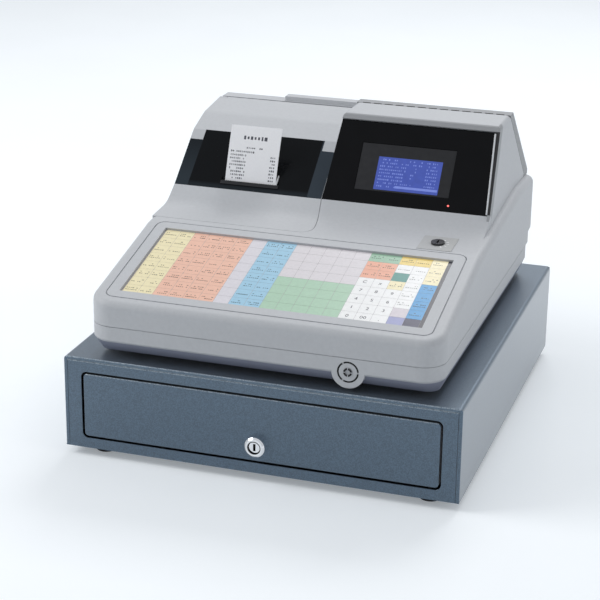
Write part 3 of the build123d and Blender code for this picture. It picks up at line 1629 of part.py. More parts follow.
def print_head():
    left, right, motor = side_plate_places()
    half = head_height / 2
    wide = (left[1], right[0])
    low = slip_thickness / 2
    plane = Plane(origin=(0, nip_v, nip_h), x_dir=(1, 0, 0),
                  z_dir=(0, -math.sin(paper_angle), math.cos(paper_angle)))
    body = slab(plane, rect(wide, (-half, half / 2)), low + head_thickness / 3, head_thickness)
    ridge = slab(plane, rect(wide, (-half / 4, half / 4)), low, head_thickness)
    return on_register(body + ridge)


def feed_motor():
    start = side_plate_places()[2][1]
    body = rod_x(motor_radius, (start, start + motor_length), pinion_v, pinion_h)
    flange = block((start, start + frame_wall), (pinion_v - motor_radius, pinion_v + motor_radius),
                   (pinion_h - motor_radius / 2, pinion_h + motor_radius / 2))
    bore = rod_x(motor_shaft_radius + journal_fit, (start - 1, start + motor_length - frame_wall), pinion_v,
                 pinion_h)
    return on_register(body + flange - bore)


def paper_roll():
    return on_register(ring_x(roll_radius, roll_core_bore, (paper_left, paper_right), roll_v, roll_h))


def paper_web():
    """The paper from under the roll, round the guide bar and up past the nip."""
    guide = web_guide()
    angle, length = web_line()
    leaving = (guide[0] + length * math.cos(angle), guide[1] + length * math.sin(angle))
    end = nip_drop / math.sin(paper_angle) - slip_tail - 1
    return on_register(paper_strip(leaving, guide, paper_point(end)))


# ---------------------------------------------------------------- clerk-key reader
def reader_housing():
    """The round body, flush with the tab, with a pocket for the contact's collar."""
    radius = reader_ring_radius - reader_ring_width - reader_fit
    body = rod_y(radius, reader_x, (0, reader_length), reader_height)
    body -= rod_y(reader_contact_radius + reader_fit, reader_x, (-1, reader_pocket_front + 1),
                  reader_height)
    pocket = (reader_pocket_front, reader_pocket_front + reader_pocket_depth)
    return on_register(body - rod_y(reader_contact_radius + 2 * reader_collar, reader_x, pocket,
                                    reader_height))


def reader_ring():
    ring = rod_y(reader_ring_radius, reader_x, (0, reader_ring_depth), reader_height)
    inner = reader_ring_radius - reader_ring_width
    return on_register(ring - rod_y(inner, reader_x, (-1, reader_ring_depth + 1), reader_height))


def reader_contact():
    """The centre contact with its dimple, and a collar that stops it behind the front."""
    front = -reader_contact_proud
    pin = rod_y(reader_contact_radius, reader_x, (front, front + reader_contact_length), reader_height)
    pin -= rod_y(reader_dimple_radius, reader_x, (front - 1, front + reader_contact_proud), reader_height)
    stop = reader_pocket_front + reader_fit
    collar = rod_y(reader_contact_radius + reader_collar, reader_x, (stop, stop + 2 * reader_collar),
                   reader_height)
    return on_register(pin + collar)


# ---------------------------------------------------------------- electronics and sockets
def socket_middle_height():
    return (base_lift + register_wall + parting_height) / 2


def socket_places():
    return [socket_x + i * socket_pitch for i in range(sockets)]


def main_board():
    low = base_lift + register_wall + board_lift
    plate = block((board_x - board_width / 2, board_x + board_width / 2), (board_v, board_v + board_length),
                  (low, low + board_thickness))
    for side in (-1, 1):
        for v in (board_v + board_lift, board_v + board_length - board_lift):
            x = board_x + side * (board_width / 2 - board_lift)
            plate += rod_z(board_lift / 2, x, v, (base_lift + register_wall, low + board_thickness))
    return on_register(plate)


def power_inlet():
    middle = socket_middle_height()
    half_w = inlet_cavity_width / 2
    half_h = inlet_cavity_height / 2
    flange = block((inlet_x - inlet_width / 2, inlet_x + inlet_width / 2),
                   (base_rear_v, base_rear_v + inlet_proud),
                   (middle - inlet_height / 2, middle + inlet_height / 2))
    body = block((inlet_x - half_w - socket_wall, inlet_x + half_w + socket_wall),
                 (base_rear_v - inlet_depth, base_rear_v + inlet_proud),
                 (middle - half_h - socket_wall, middle + half_h + socket_wall))
    mouth = base_rear_v + inlet_proud
    cavity = block((inlet_x - half_w, inlet_x + half_w), (mouth - inlet_cavity_depth, mouth + 1),
                   (middle - half_h, middle + half_h))
    inlet = flange + body - cavity
    for x, h in ((-inlet_pin_pitch, -inlet_pin_rise), (0, inlet_pin_rise),
                 (inlet_pin_pitch, -inlet_pin_rise)):
        inlet += block((inlet_x + x - inlet_pin_rise / 2, inlet_x + x + inlet_pin_rise / 2),
                       (mouth - inlet_cavity_depth - socket_wall / 2,
                        mouth - inlet_cavity_depth + inlet_pin_length),
                       (middle + h - inlet_pin_rise, middle + h + inlet_pin_rise))
    return on_register(inlet)


def io_connectors():
    middle = socket_middle_height()
    shells = []
    for x in socket_places():
        half = socket_width / 2
        mouth = base_rear_v + socket_proud
        body = block((x - half, x + half), (base_rear_v - socket_depth, mouth),
                     (middle - socket_height / 2, middle + socket_height / 2))
        body -= block((x - half + socket_wall, x + half - socket_wall), (mouth - socket_cavity, mouth + 1),
                      (middle - socket_height / 2 + socket_wall, middle + socket_height / 2 - socket_wall))
        shells.append(on_register(body))
    return shells


# ---------------------------------------------------------------- the whole object
def sub_parts():
    makers = [
        cabinet_cover, cabinet_front_frame, cabinet_base_pan, cabinet_rear_panel, cabinet_feet,
        cabinet_screws, cabinet_runners, cabinet_rollers, latch_bracket, latch_solenoid, latch_hook,
        drawer_front, drawer_pan, drawer_rails, drawer_rollers, drawer_strike,
        lock_housing, lock_plug, lock_cam, till_tray, coin_tray, clip_axle,
        register_feet, base_case, upper_case, case_screws, keyboard_bezel, key_sheet, keyboard_board,
        mode_lock_plate, mode_lock_body, mode_lock_plug,
        display_hood, display_window, lcd_module, rear_cap, customer_display,
        printer_cover, printer_window, tear_bar, receipt_slip,
        printer_frame, print_head, platen_roller, platen_gear, idler_gear, motor_pinion, feed_motor,
        paper_roll, paper_web, reader_housing, reader_ring, reader_contact,
        main_board, power_inlet, io_connectors,
    ]
    return makers


def build_all():
    os.makedirs("parts", exist_ok=True)
    for maker in sub_parts():
        save(maker.__name__, maker())
    for number, x in enumerate(bay_edges(), start=1):
        save(f"bill_clip_{number}", bill_clip(x))


if __name__ == "__main__":
    build_all()
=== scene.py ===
# %% [markdown]
# A cash register on its own steel cash drawer.
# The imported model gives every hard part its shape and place. This file gives those parts their
# finishes, and adds what is printed, lit or too thin for a solid: the key legends, the rows on the
# screen, the print on the receipt, the marks round the mode lock.

# %% Load the model
import bpy
import bmesh
import json
import math
from mathutils import Matrix, Vector


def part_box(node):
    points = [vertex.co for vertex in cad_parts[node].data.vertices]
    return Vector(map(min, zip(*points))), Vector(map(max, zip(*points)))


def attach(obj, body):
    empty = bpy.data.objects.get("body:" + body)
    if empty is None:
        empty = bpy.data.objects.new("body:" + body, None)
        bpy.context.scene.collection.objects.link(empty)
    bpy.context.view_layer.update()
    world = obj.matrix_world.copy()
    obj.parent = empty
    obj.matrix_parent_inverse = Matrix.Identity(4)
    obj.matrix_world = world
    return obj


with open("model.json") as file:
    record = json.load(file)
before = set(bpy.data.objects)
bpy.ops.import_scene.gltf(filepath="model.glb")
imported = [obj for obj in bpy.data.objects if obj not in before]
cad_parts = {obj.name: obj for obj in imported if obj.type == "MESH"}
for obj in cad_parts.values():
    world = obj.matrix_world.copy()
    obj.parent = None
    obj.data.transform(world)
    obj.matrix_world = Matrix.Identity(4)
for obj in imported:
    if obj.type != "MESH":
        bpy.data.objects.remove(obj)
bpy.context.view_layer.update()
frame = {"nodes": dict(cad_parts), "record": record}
nodes = frame["nodes"]

# %% [markdown]
# The camera comes first, because every finish is judged through it. A long lens from a little above
# and to the right of the front keeps the register's sides nearly parallel, which is how shop
# equipment is usually pictured. A short lens would make the keyboard's near edge look too wide.

# %% Camera
camera_place = (0.53378, -1.744788, 0.784512)
camera_turn = Matrix((
    (0.95080414, -0.11696914, 0.28686181),
    (0.30956689, 0.32339189, -0.89419574),
    (0.01182452, 0.93900794, 0.34369212),
))
camera_data = bpy.data.cameras.new("camera")
camera_data.lens = 108.57
camera_data.sensor_width = 36.0
camera_data.clip_end = 20.0
camera = bpy.data.objects.new("camera", camera_data)
camera.matrix_world = Matrix.Translation(camera_place) @ camera_turn.to_4x4()
bpy.context.scene.collection.objects.link(camera)
bpy.context.scene.camera = camera
print("camera looks along", [round(value, 3) for value in -camera_turn.col[2]])

# %% [markdown]
# Light, finishes and patterns are all trees of nodes. The helpers here add a node in one line: its
# modes, then its inputs, each a plain value or another node's output. The last one tells which rays
# see the background, so that a glow can be kept from lighting the object.


# %% Nodes
def add_node(tree, kind, result, inputs, **modes):
    """The output asked for, of a new node with its inputs set or linked."""
    node = tree.nodes.new(kind)
    for name, mode in modes.items():
        setattr(node, name, mode)
    for label, value in inputs.items():
        if isinstance(value, bpy.types.NodeSocket):
            tree.links.new(value, node.inputs[label])
        else:
            node.inputs[label].default_value = value
    return node.outputs[result]


def math_node(tree, operation, first, second=0):
    return add_node(tree, "ShaderNodeMath", "Value", {0: first, 1: second}, operation=operation)


def by_step(tree, value, start, end, below, above):
    """below under the start, above over the end, and a straight ramp between them."""
    return add_node(tree, "ShaderNodeMapRange", "Result", {
        "Value": value, "From Min": start, "From Max": end, "To Min": below, "To Max": above})


def part_place(tree):
    return add_node(tree, "ShaderNodeTexCoord", "Object", {})


def seen_rays(tree):
    """One for the camera's rays and for those by way of a mirror or a clear sheet."""
    paths = tree.nodes.new("ShaderNodeLightPath").outputs
    mirrored = math_node(tree, "MAXIMUM", paths["Is Camera Ray"], paths["Is Glossy Ray"])
    return math_node(tree, "MAXIMUM", mirrored, paths["Is Transmission Ray"])


print("node helpers ready")

# %% [markdown]
# Three soft boxes light the register, from the left, the right and behind. None hangs over the
# front, because the two sloped windows are polished and look straight up there: a lamp in that
# place would lie on them as a grey veil. The lamps stay at a plain level, so that a colour renders
# about as it is written, and view transform Standard shows it without a film curve. The room looks
# brighter than the light that it gives, which keeps the far background pale.

# %% Light
room_light, room_seen = 0.42, 0.66
lamp_target = Vector((0, 0, 0.15))
bpy.context.scene.view_settings.view_transform = "Standard"
world = bpy.data.worlds.new("studio")
bpy.context.scene.world = world
world.use_nodes = True
tree = world.node_tree
background = tree.nodes["Background"].inputs
background["Color"].default_value = (0.90, 0.94, 1.0, 1)
tree.links.new(by_step(tree, seen_rays(tree), 0, 1, room_light, room_seen), background["Strength"])


def area_lamp(name, place, size, power):
    data = bpy.data.lights.new(name, "AREA")
    data.shape = "RECTANGLE"
    data.size, data.size_y = size
    data.energy = power
    lamp = bpy.data.objects.new(name, data)
    aim = (lamp_target - Vector(place)).to_track_quat("-Z", "Y")
    lamp.matrix_world = Matrix.Translation(place) @ aim.to_matrix().to_4x4()
    bpy.context.scene.collection.objects.link(lamp)


area_lamp("left_box", (-1.9, -0.7, 1.7), (1.4, 1.2), 26.0)
area_lamp("right_box", (2.1, -0.1, 1.1), (1.4, 1.2), 6.0)
area_lamp("rear_box", (0.2, 1.9, 2.2), (1.6, 1.0), 28.0)

# %% [markdown]
# Every finish starts from the same small kit: a Principled shader, a noise that breaks up its
# colour a little, and a finer noise that raises its surface. Both read Object coordinates, which on
# these parts are metres, so a scale of 1000 is a grain of about a millimetre. Values that are the
# same all over are set on the shader's own sockets.


# %% A finish, its mottling and its grain
def shader_of(material):
    return material.node_tree.nodes["Principled BSDF"].inputs


def finish(name, roughness, metallic=0.0, coat=0.0, specular=0.5):
    material = bpy.data.materials.new(name)
    material.use_nodes = True
    values = {"Roughness": roughness, "Metallic": metallic, "Coat Weight": coat,
              "Coat Roughness": 0.12, "Specular IOR Level": specular}
    for label, value in values.items():
        shader_of(material)[label].default_value = value
    return material


def place_noise(tree, scale, stretch=(1, 1, 1), detail=3.0):
    stretched = add_node(
        tree, "ShaderNodeMapping", "Vector", {"Vector": part_place(tree), "Scale": stretch})
    return add_node(tree, "ShaderNodeTexNoise", "Fac", {
        "Vector": stretched, "Scale": scale, "Detail": detail})


def mottle(material, dark, light, scale, stretch=(1, 1, 1), tight=0.2, target="Base Color"):
    """The colour wanders between two close shades."""
    tree = material.node_tree
    noise = place_noise(tree, scale, stretch)
    wander = add_node(tree, "ShaderNodeValToRGB", "Color", {"Fac": noise})
    low, high = wander.node.color_ramp.elements
    low.position, high.position = 0.5 - tight, 0.5 + tight
    low.color, high.color = (*dark, 1), (*light, 1)
    tree.links.new(wander, shader_of(material)[target])


def grain(material, scale, depth, stretch=(1, 1, 1)):
    """The surface rises and falls by depth, in metres."""
    tree = material.node_tree
    bump = add_node(tree, "ShaderNodeBump", "Normal", {
        "Strength": 1.0, "Distance": depth, "Height": place_noise(tree, scale, stretch, 2.0)})
    tree.links.new(bump, shader_of(material)["Normal"])


def rub(material, low, high, scale, stretch=(1, 1, 1)):
    """The gloss wanders between two roughness values, as handling leaves it."""
    tree = material.node_tree
    gloss = by_step(tree, place_noise(tree, scale, stretch), 0, 1, low, high)
    tree.links.new(gloss, shader_of(material)["Roughness"])


def mottled(name, roughness, dark, light, scale, stretch=(1, 1, 1), **look):
    """A finish and its mottling in one call, which is how most of them start."""
    material = finish(name, roughness, **look)
    mottle(material, dark, light, scale, stretch)
    return material


def shade(colour, factor):
    return tuple(min(1.0, value * factor) for value in colour)


print("finish kit ready")

# %% [markdown]
# The cabinet and the drawer are steel with a slate-blue powder coat with fine metal flake. Flake
# mirrors the room softly, so a side seen at a low angle turns pale while the front stays deep, and
# edges catch a line of light. A short noise gives the speckle and a longer one the tiny hills of
# melted powder.

# %% Powder coat
slate = (0.072, 0.116, 0.165)
powder_coat = finish("powder_coat", 0.40, metallic=0.75, coat=1.0)
mottle(powder_coat, shade(slate, 0.80), shade(slate, 1.22), 1100, tight=0.10)
grain(powder_coat, 900, 0.00012)
for label, value in {"Coat Roughness": 0.3, "Sheen Weight": 0.42, "Sheen Roughness": 0.35}.items():
    shader_of(powder_coat)[label].default_value = value
print(powder_coat.name, slate)

# %% [markdown]
# Some parts carry two colours: a darker band, a gap, a printed ring. A mask is a value of one where
# the second colour lies and none elsewhere. Each is worked out from the place on the part, in
# metres, so it stays where it is from every side and under every light. A mask's edge is a short
# ramp as wide as soft says.


# %% Masks
def rises(tree, value, edge, soft):
    return by_step(tree, value, edge, edge + soft, 0.0, 1.0)


def falls(tree, value, edge, soft):
    return by_step(tree, value, edge, edge + soft, 1.0, 0.0)


def split(tree):
    """The place on the part, as three separate axes."""
    return add_node(
        tree, "ShaderNodeSeparateXYZ", "X", {"Vector": part_place(tree)}).node.outputs


def off_line(tree, place_on_line, flat):
    """How far a point lies from a line: flat is none on the line's own axis, one on the others."""
    place = add_node(
        tree, "ShaderNodeMapping", "Vector", {"Vector": part_place(tree), "Scale": flat})
    return add_node(
        tree, "ShaderNodeVectorMath", "Value", {0: place, 1: place_on_line}, operation="DISTANCE")


def off_plane(tree, direction, origin):
    """How far a point lies from an origin along a direction."""
    along = add_node(tree, "ShaderNodeVectorMath", "Value",
                     {0: part_place(tree), 1: direction}, operation="DOT_PRODUCT")
    return math_node(tree, "SUBTRACT", along, direction.dot(origin))


def ring_gaps(tree, centre, count, gap_share):
    """One in the gaps of a ring round an axis along Y, and none on the dashes between them."""
    axes = split(tree)
    aside = math_node(tree, "SUBTRACT", axes["X"], centre[0])
    above = math_node(tree, "SUBTRACT", axes["Z"], centre[2])
    turn = math_node(tree, "ARCTAN2", above, aside)
    swing = math_node(tree, "PINGPONG", turn, math.pi / count)
    return falls(tree, swing, gap_share * math.pi / count, 0.02)


def both(tree, *masks):
    """Masks multiplied, so that only what all of them cover is left."""
    kept = masks[0]
    for mask in masks[1:]:
        kept = math_node(tree, "MULTIPLY", kept, mask)
    return kept


def tint(material, mask, colour):
    """A second colour over the first one, where the mask is one."""
    tree = material.node_tree
    target = shader_of(material)["Base Color"]
    first = target.links[0].from_socket
    over = add_node(tree, "ShaderNodeMix", "Result",
                    {"A": first, "B": (*colour, 1), "Factor": mask}, data_type="RGBA")
    tree.links.new(over, target)


along_x, along_y = (0, 1, 1), (1, 0, 1)
print("mask kit ready")

# %% [markdown]
# Along the long front edges, the lid's, the face frame's and the drawer's, the powder coat is
# painted lighter as a painted highlight. Each highlight is a mask round its edge, broken up by a
# noise into a speckled line.

# %% Painted edge highlights
# A lighter colour, painted as a highlight along the front edges.
edge_highlight_colour = (0.40, 0.46, 0.50)
edge_highlight_radius = 0.0005
front_y = -0.215
height_and_half_width = {
    "lid": (0.1066, 0.205), "face frame": (0.1030, 0.201), "drawer": (0.0894, 0.1843),
}
tree = powder_coat.node_tree
speckle = by_step(tree, place_noise(tree, 900), 0.44, 0.54, 0.2, 1.0)
from_middle = math_node(tree, "ABSOLUTE", split(tree)["X"])
for label, (height, half_width) in height_and_half_width.items():
    off_edge = off_line(tree, (0.0, front_y, height), along_x)
    near_edge = by_step(tree, off_edge, edge_highlight_radius, 2 * edge_highlight_radius, 0.75, 0.0)
    within = falls(tree, from_middle, half_width, 0.0002)
    # The lighter colour along this edge is a painted highlight.
    tint(powder_coat, both(tree, near_edge, within, speckle), edge_highlight_colour)
    print("worn edge of the", label)

# %% [markdown]
# The housings are moulded plastic with a spark-eroded texture: the mould's steel was pitted by
# sparks, and the plastic copies the pits as a fine even grain. It kills the shine without hiding
# the shape. The rear cap is the same plastic, painted a shade darker as painted shade.

# %% Moulded housings
warm_grey = (0.560, 0.572, 0.590)
shaded_share = 0.62


def moulded(name, roughness, dark=0.975, light=1.02):
    """The register's plastic between two shares of its grey, with the mould's grain."""
    material = mottled(name, roughness, shade(warm_grey, dark), shade(warm_grey, light), 260)
    grain(material, 2600, 0.00003)
    return material


housing = moulded("housing_plastic", 0.52)
# The cap's darker grey is painted shade.
cap_plastic = moulded("cap_plastic", 0.55, shaded_share, 0.66)
plate_plastic = mottled("lock_plate_plastic", 0.45, (0.47, 0.475, 0.47), (0.50, 0.505, 0.50), 500)
grain(plate_plastic, 3000, 0.00002)
print(housing.name, cap_plastic.name, plate_plastic.name)

# %% [markdown]
# The hood's rim round the display is painted a darker grey as painted shade, and its face beside
# the window is painted black as painted shade. The window's slope gives both: up is the way up the
# slope, and out the way off it.

# %% Hood rim
painted_shade_black = (0.006, 0.006, 0.007)
window_tilt = 53.10
window_foot = Vector((0.0, 0.0263, 0.2216))
slope = math.radians(window_tilt)
window_out = Vector((0.0, -math.sin(slope), math.cos(slope)))
window_up = Vector((0.0, math.cos(slope), math.sin(slope)))
rim_depth, lip_height, window_length = 0.0095, 0.0022, 0.0937
hood_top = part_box("display_hood")[1][2]
hood_plastic = moulded("hood_plastic", 0.52)
tree = hood_plastic.node_tree
out = off_plane(tree, window_out, window_foot)
up = off_plane(tree, window_up, window_foot)
near_window = rises(tree, out, -rim_depth, 0.003)
under_top = falls(tree, split(tree)["Z"], hood_top - 0.0006, 0.0003)
# Painted shade: the rim round the window is a darker grey.
tint(hood_plastic, both(tree, near_window, under_top), shade(warm_grey, shaded_share))
on_lip = rises(tree, out, lip_height, 0.0001)
beside_window = falls(tree, up, window_length, 0.0003)
above_foot = rises(tree, up, 0.0002, 0.0004)
# Painted shade: the hood's face beside the window is black.
tint(hood_plastic, both(tree, on_lip, beside_window, above_foot), painted_shade_black)
print(hood_plastic.name, "rim")

# %% [markdown]
# The rear cap has a row of air slots along its front edge, painted black inside as painted shade.
# Folding X back and forth by half a pitch turns one slot's mask into the whole row's.

# %% Cap slots
cap_low, cap_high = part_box("rear_cap")
slot_count, row_centre = 13, 0.08045
slot_pitch, slot_length, slot_width, slot_drop = 0.0125, 0.0090, 0.0020, 0.0090
tree = cap_plastic.node_tree
axes = split(tree)
in_the_row = math_node(tree, "SUBTRACT", axes["X"], row_centre)
from_slot = math_node(tree, "PINGPONG", in_the_row, slot_pitch / 2)
in_slot = falls(tree, from_slot, slot_length / 2 + 0.0001, 0.0001)
slot_wall = falls(tree, axes["Y"], cap_low[1] + slot_width + 0.0001, 0.0001)
slot_floor = rises(tree, axes["Z"], cap_high[2] - slot_drop - 0.001, 0.001)
row_end = slot_count * slot_pitch / 2
in_row = falls(tree, math_node(tree, "ABSOLUTE", in_the_row), row_end - 0.001, 0.001)
# Painted shade: the insides of the slots are black.
tint(cap_plastic, both(tree, in_slot, slot_wall, slot_floor, in_row), painted_shade_black)
print(cap_plastic.name, slot_count, "slots")

# %% [markdown]
# The base is the same plastic, but the band that slopes in under it faces down and is painted
# darker as painted shade. It starts at one height all round. The round tab of the key reader stands
# clear of it, so the band is masked off near the tab's axis.

# %% Base with its band of painted shade
band_shade_colour = (0.27, 0.285, 0.36)
band_top = 0.1244
reader_axis = (0.0902, 0.0, 0.1273)
tab_radius, tab_back = 0.0167, -0.196
base_plastic = moulded("base_plastic", 0.55)
tree = base_plastic.node_tree
low_band = falls(tree, split(tree)["Z"], band_top, 0.0005)
beside_tab = rises(tree, off_line(tree, reader_axis, along_y), tab_radius, 0.0003)
behind_tab = rises(tree, split(tree)["Y"], tab_back, 0.002)
off_tab = math_node(tree, "MAXIMUM", beside_tab, behind_tab)
# The darker band under the base is painted shade.
tint(base_plastic, both(tree, low_band, off_tab), band_shade_colour)
print(base_plastic.name)

# %% [markdown]
# The key reader is two printed rings on the tab, each broken by short gaps, round a small contact.

# %% Key reader
dimple_radius, contact_rim = 0.0024, 0.0043
reader_black = mottled(
    "reader_black", 0.55, (0.006, 0.006, 0.007), (0.010, 0.010, 0.011), 500, specular=0.25)
tint(reader_black, ring_gaps(reader_black.node_tree, reader_axis, 3, 0.07), (0.42, 0.43, 0.44))
contact_finish = mottled(
    "reader_contact", 0.45, (0.50, 0.51, 0.53), (0.54, 0.55, 0.57), 700, specular=0.3)
grain(contact_finish, 1500, 0.00002)
tree = contact_finish.node_tree
off_axis = off_line(tree, reader_axis, along_y)
past_dimple = rises(tree, off_axis, dimple_radius, 0.0002)
inside_rim = falls(tree, off_axis, contact_rim, 0.0002)
between_gaps = math_node(tree, "SUBTRACT", 1.0, ring_gaps(tree, reader_axis, 4, 0.13))
tint(contact_finish, both(tree, past_dimple, inside_rim, between_gaps), (0.008, 0.008, 0.009))
print(reader_black.name, contact_finish.name)

# %% [markdown]
# Inside and underneath are the plain working finishes: zinc-plated steel with its faint spangle and
# rolling lines, chrome on the lock, rubber feet, natural nylon rollers, black till plastic, green
# circuit boards. Each is the same kit with other numbers. Stretching the noise along one axis turns
# it into rolling or turning lines.

# %% Metals
plated_steel = mottled(
    "plated_steel", 0.34, (0.50, 0.51, 0.52), (0.66, 0.67, 0.68), 90, (1, 0.25, 1), metallic=1.0)
rub(plated_steel, 0.26, 0.44, 400, (1, 0.15, 1))
screw_steel = mottled(
    "screw_steel", 0.38, (0.36, 0.36, 0.37), (0.50, 0.50, 0.51), 700, metallic=1.0)
grain(screw_steel, 2500, 0.00003)
spring_steel = mottled(
    "spring_steel", 0.25, (0.60, 0.61, 0.62), (0.74, 0.75, 0.76), 300, (1, 0.1, 1), metallic=1.0)
rub(spring_steel, 0.18, 0.34, 900, (1, 0.1, 1))
chrome_shades = (0.80, 0.81, 0.83), (0.90, 0.91, 0.92)
chrome = mottled("chrome", 0.10, *chrome_shades, 120, metallic=1.0)
rub(chrome, 0.06, 0.16, 1800)
motor_steel = mottled(
    "motor_steel", 0.40, (0.42, 0.42, 0.43), (0.55, 0.55, 0.56), 200, (0.1, 1, 1), metallic=1.0)
rub(motor_steel, 0.32, 0.48, 700, (0.1, 1, 1))
tear_steel = mottled("tear_steel", 0.45, (0.010, 0.010, 0.012), (0.018, 0.018, 0.021), 800,
                     (0.2, 1, 1), metallic=0.4)
grain(tear_steel, 1800, 0.00001)
print("metals ready")

# %% Rubber, nylon and the other working plastics
rubber = mottled("foot_rubber", 0.85, (0.018, 0.018, 0.019), (0.034, 0.034, 0.036), 400)
grain(rubber, 1800, 0.00008)
platen_rubber = mottled("platen_rubber", 0.70, (0.045, 0.045, 0.050), (0.065, 0.065, 0.070), 500)
grain(platen_rubber, 2200, 0.00004, (0.2, 1, 1))
nylon = mottled("nylon", 0.45, (0.74, 0.72, 0.66), (0.82, 0.81, 0.76), 220)
grain(nylon, 1500, 0.00002)
till_plastic = mottled("till_plastic", 0.40, (0.026, 0.026, 0.029), (0.036, 0.036, 0.040), 250)
grain(till_plastic, 1600, 0.00005)
black_plastic = mottled("black_plastic", 0.38, (0.010, 0.010, 0.012), (0.018, 0.018, 0.020), 300)
grain(black_plastic, 2000, 0.00003)
mechanism_plastic = mottled(
    "mechanism_plastic", 0.50, (0.050, 0.050, 0.056), (0.072, 0.072, 0.080), 600)
grain(mechanism_plastic, 1400, 0.00003, (1, 0.4, 1))
acetal = mottled("acetal", 0.40, (0.66, 0.66, 0.61), (0.74, 0.74, 0.70), 300)
grain(acetal, 1500, 0.00002)
print("plastics ready")

# %% [markdown]
# The drawer's lock is bright all over, so what makes it read as a lock is dark: the groove round
# the plug and the keyhole, painted dark as painted shade. Both are masks about the lock's own axis.

# %% Drawer lock
lock_axis = (0.0, 0.0, 0.0395)
groove_inner, groove_outer = 0.0056, 0.0068
keyhole_half_width, keyhole_half_height = 0.0012, 0.0037
lock_chrome = mottled("lock_chrome", 0.14, *chrome_shades, 120, metallic=1.0)
rub(lock_chrome, 0.10, 0.20, 1800)
tree = lock_chrome.node_tree
off_axis = off_line(tree, lock_axis, along_y)
groove = both(
    tree, rises(tree, off_axis, groove_inner, 0.0002), falls(tree, off_axis, groove_outer, 0.0002))
axes = split(tree)
aside = math_node(tree, "ABSOLUTE", axes["X"])
above = math_node(tree, "ABSOLUTE", math_node(tree, "SUBTRACT", axes["Z"], lock_axis[2]))
keyhole = both(
    tree, falls(tree, aside, keyhole_half_width, 0.0002),
    falls(tree, above, keyhole_half_height, 0.0002))
# Painted shade in the groove and the keyhole.
tint(lock_chrome, math_node(tree, "MAXIMUM", groove, keyhole), (0.012, 0.012, 0.014))
print(lock_chrome.name)

# %% [markdown]
# A circuit board is glass cloth under a green mask, with copper tracks that show as lighter lines.
# Nobody sees more of them than a pattern: a Brick texture with thin mortar has crossing lines at
# that scale.

# %% Circuit board
board = finish("green_board", 0.30, coat=0.3)
tree = board.node_tree
tracks = add_node(tree, "ShaderNodeTexBrick", "Color", {
    "Vector": part_place(tree), "Scale": 90, "Mortar Size": 0.035,
    "Color1": (0.020, 0.105, 0.050, 1), "Color2": (0.026, 0.130, 0.062, 1),
    "Mortar": (0.070, 0.240, 0.110, 1),
})
tree.links.new(tracks, shader_of(board)["Base Color"])
grain(board, 1200, 0.00002)
print(board.name)

# %% [markdown]
# Both windows are smoked sheets, black from outside, with a hard polish and faint wiping marks. The
# printer's window has a clear strip at each side, where the lid's inside shows through as slate,
# and the left one darkens towards its top. Along its foot lies the paler edge of the paper slot.
# All of these have fixed places on the object, so the colour switches at a place in metres.

# %% Smoked windows
left_clear, right_clear = -0.1656, -0.0288
ledge_low, ledge_high = 0.2236, 0.2262
fade_low, fade_high = 0.228, 0.258
display_black = mottled(
    "display_black", 0.10, (0.0020, 0.0020, 0.0026), (0.0030, 0.0030, 0.0038), 60, specular=0.14)
rub(display_black, 0.07, 0.13, 240, (1, 0.3, 1))
printer_black = mottled(
    "printer_black", 0.14, (0.0032, 0.0038, 0.0048), (0.0038, 0.0046, 0.0056), 60, specular=0.12)
tree = printer_black.node_tree
axes = split(tree)
left_strip = falls(tree, axes["X"], left_clear, 0.0006)
right_strip = rises(tree, axes["X"], right_clear, 0.0006)
ledge = by_step(tree, axes["Z"], ledge_low, ledge_high, 0.45, 0.0)
upper_left = both(tree, left_strip, by_step(tree, axes["Z"], fade_low, fade_high, 0.0, 0.75))
tint(printer_black, math_node(tree, "MAXIMUM", left_strip, ledge), (0.028, 0.038, 0.047))
tint(printer_black, upper_left, (0.008, 0.010, 0.013))
tint(printer_black, right_strip, (0.040, 0.052, 0.066))
rub(printer_black, 0.10, 0.20, 240, (1, 0.3, 1))
screen_frame = mottled(
    "screen_frame", 0.30, (0.016, 0.016, 0.018), (0.022, 0.022, 0.024), 140, specular=0.3)
grain(screen_frame, 1800, 0.00001)
print("windows ready")

# %% [markdown]
# Receipt paper is thermal paper: very white, smooth, with short fibres that only show up close. The
# keyboard's film is printed on its underside, so the colours lie under a thin satin sheet. Its
# right margin is darker.

# %% Paper and film
margin_left = 0.1504
paper = mottled("receipt_paper", 0.60, (0.93, 0.93, 0.95), (0.97, 0.97, 0.98), 900, (1, 1, 0.3))
grain(paper, 2600, 0.00001)
film = mottled("printed_film", 0.30, (0.40, 0.37, 0.38), (0.44, 0.41, 0.42), 300)
grain(film, 1400, 0.00001)
tree = film.node_tree
tint(film, rises(tree, split(tree)["X"], margin_left, 0.0003), (0.035, 0.035, 0.050))
print(paper.name, film.name)

# %% [markdown]
# The record names a material slot for each part, and each slot has its finish. A few parts have a
# finish of their own instead, because of their masks.

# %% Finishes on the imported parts
finish_of_slot = {
    "cabinet_paint": powder_coat, "bare_steel": plated_steel, "black_rubber": rubber,
    "screw_steel": screw_steel, "chrome": chrome, "nylon": nylon, "till_plastic": till_plastic,
    "clip_steel": spring_steel, "housing_light": housing, "housing_dark": cap_plastic,
    "lock_plate": plate_plastic, "keyboard_film": film, "circuit_board": board,
    "black_plastic": black_plastic, "window_black": display_black, "screen": screen_frame,
    "paper": paper, "platen_rubber": platen_rubber, "gear_plastic": acetal,
    "mechanism_plastic": mechanism_plastic, "motor_steel": motor_steel,
}
finish_of_node = {
    "printer_window": printer_black, "base_case": base_plastic, "display_hood": hood_plastic,
    "tear_bar": tear_steel, "reader_ring": reader_black, "reader_contact": contact_finish,
    "lock_housing": lock_chrome, "lock_plug": lock_chrome,
}
slot_of_node = {entry["node"]: entry["material_slot"] for entry in frame["record"]["subparts"]}
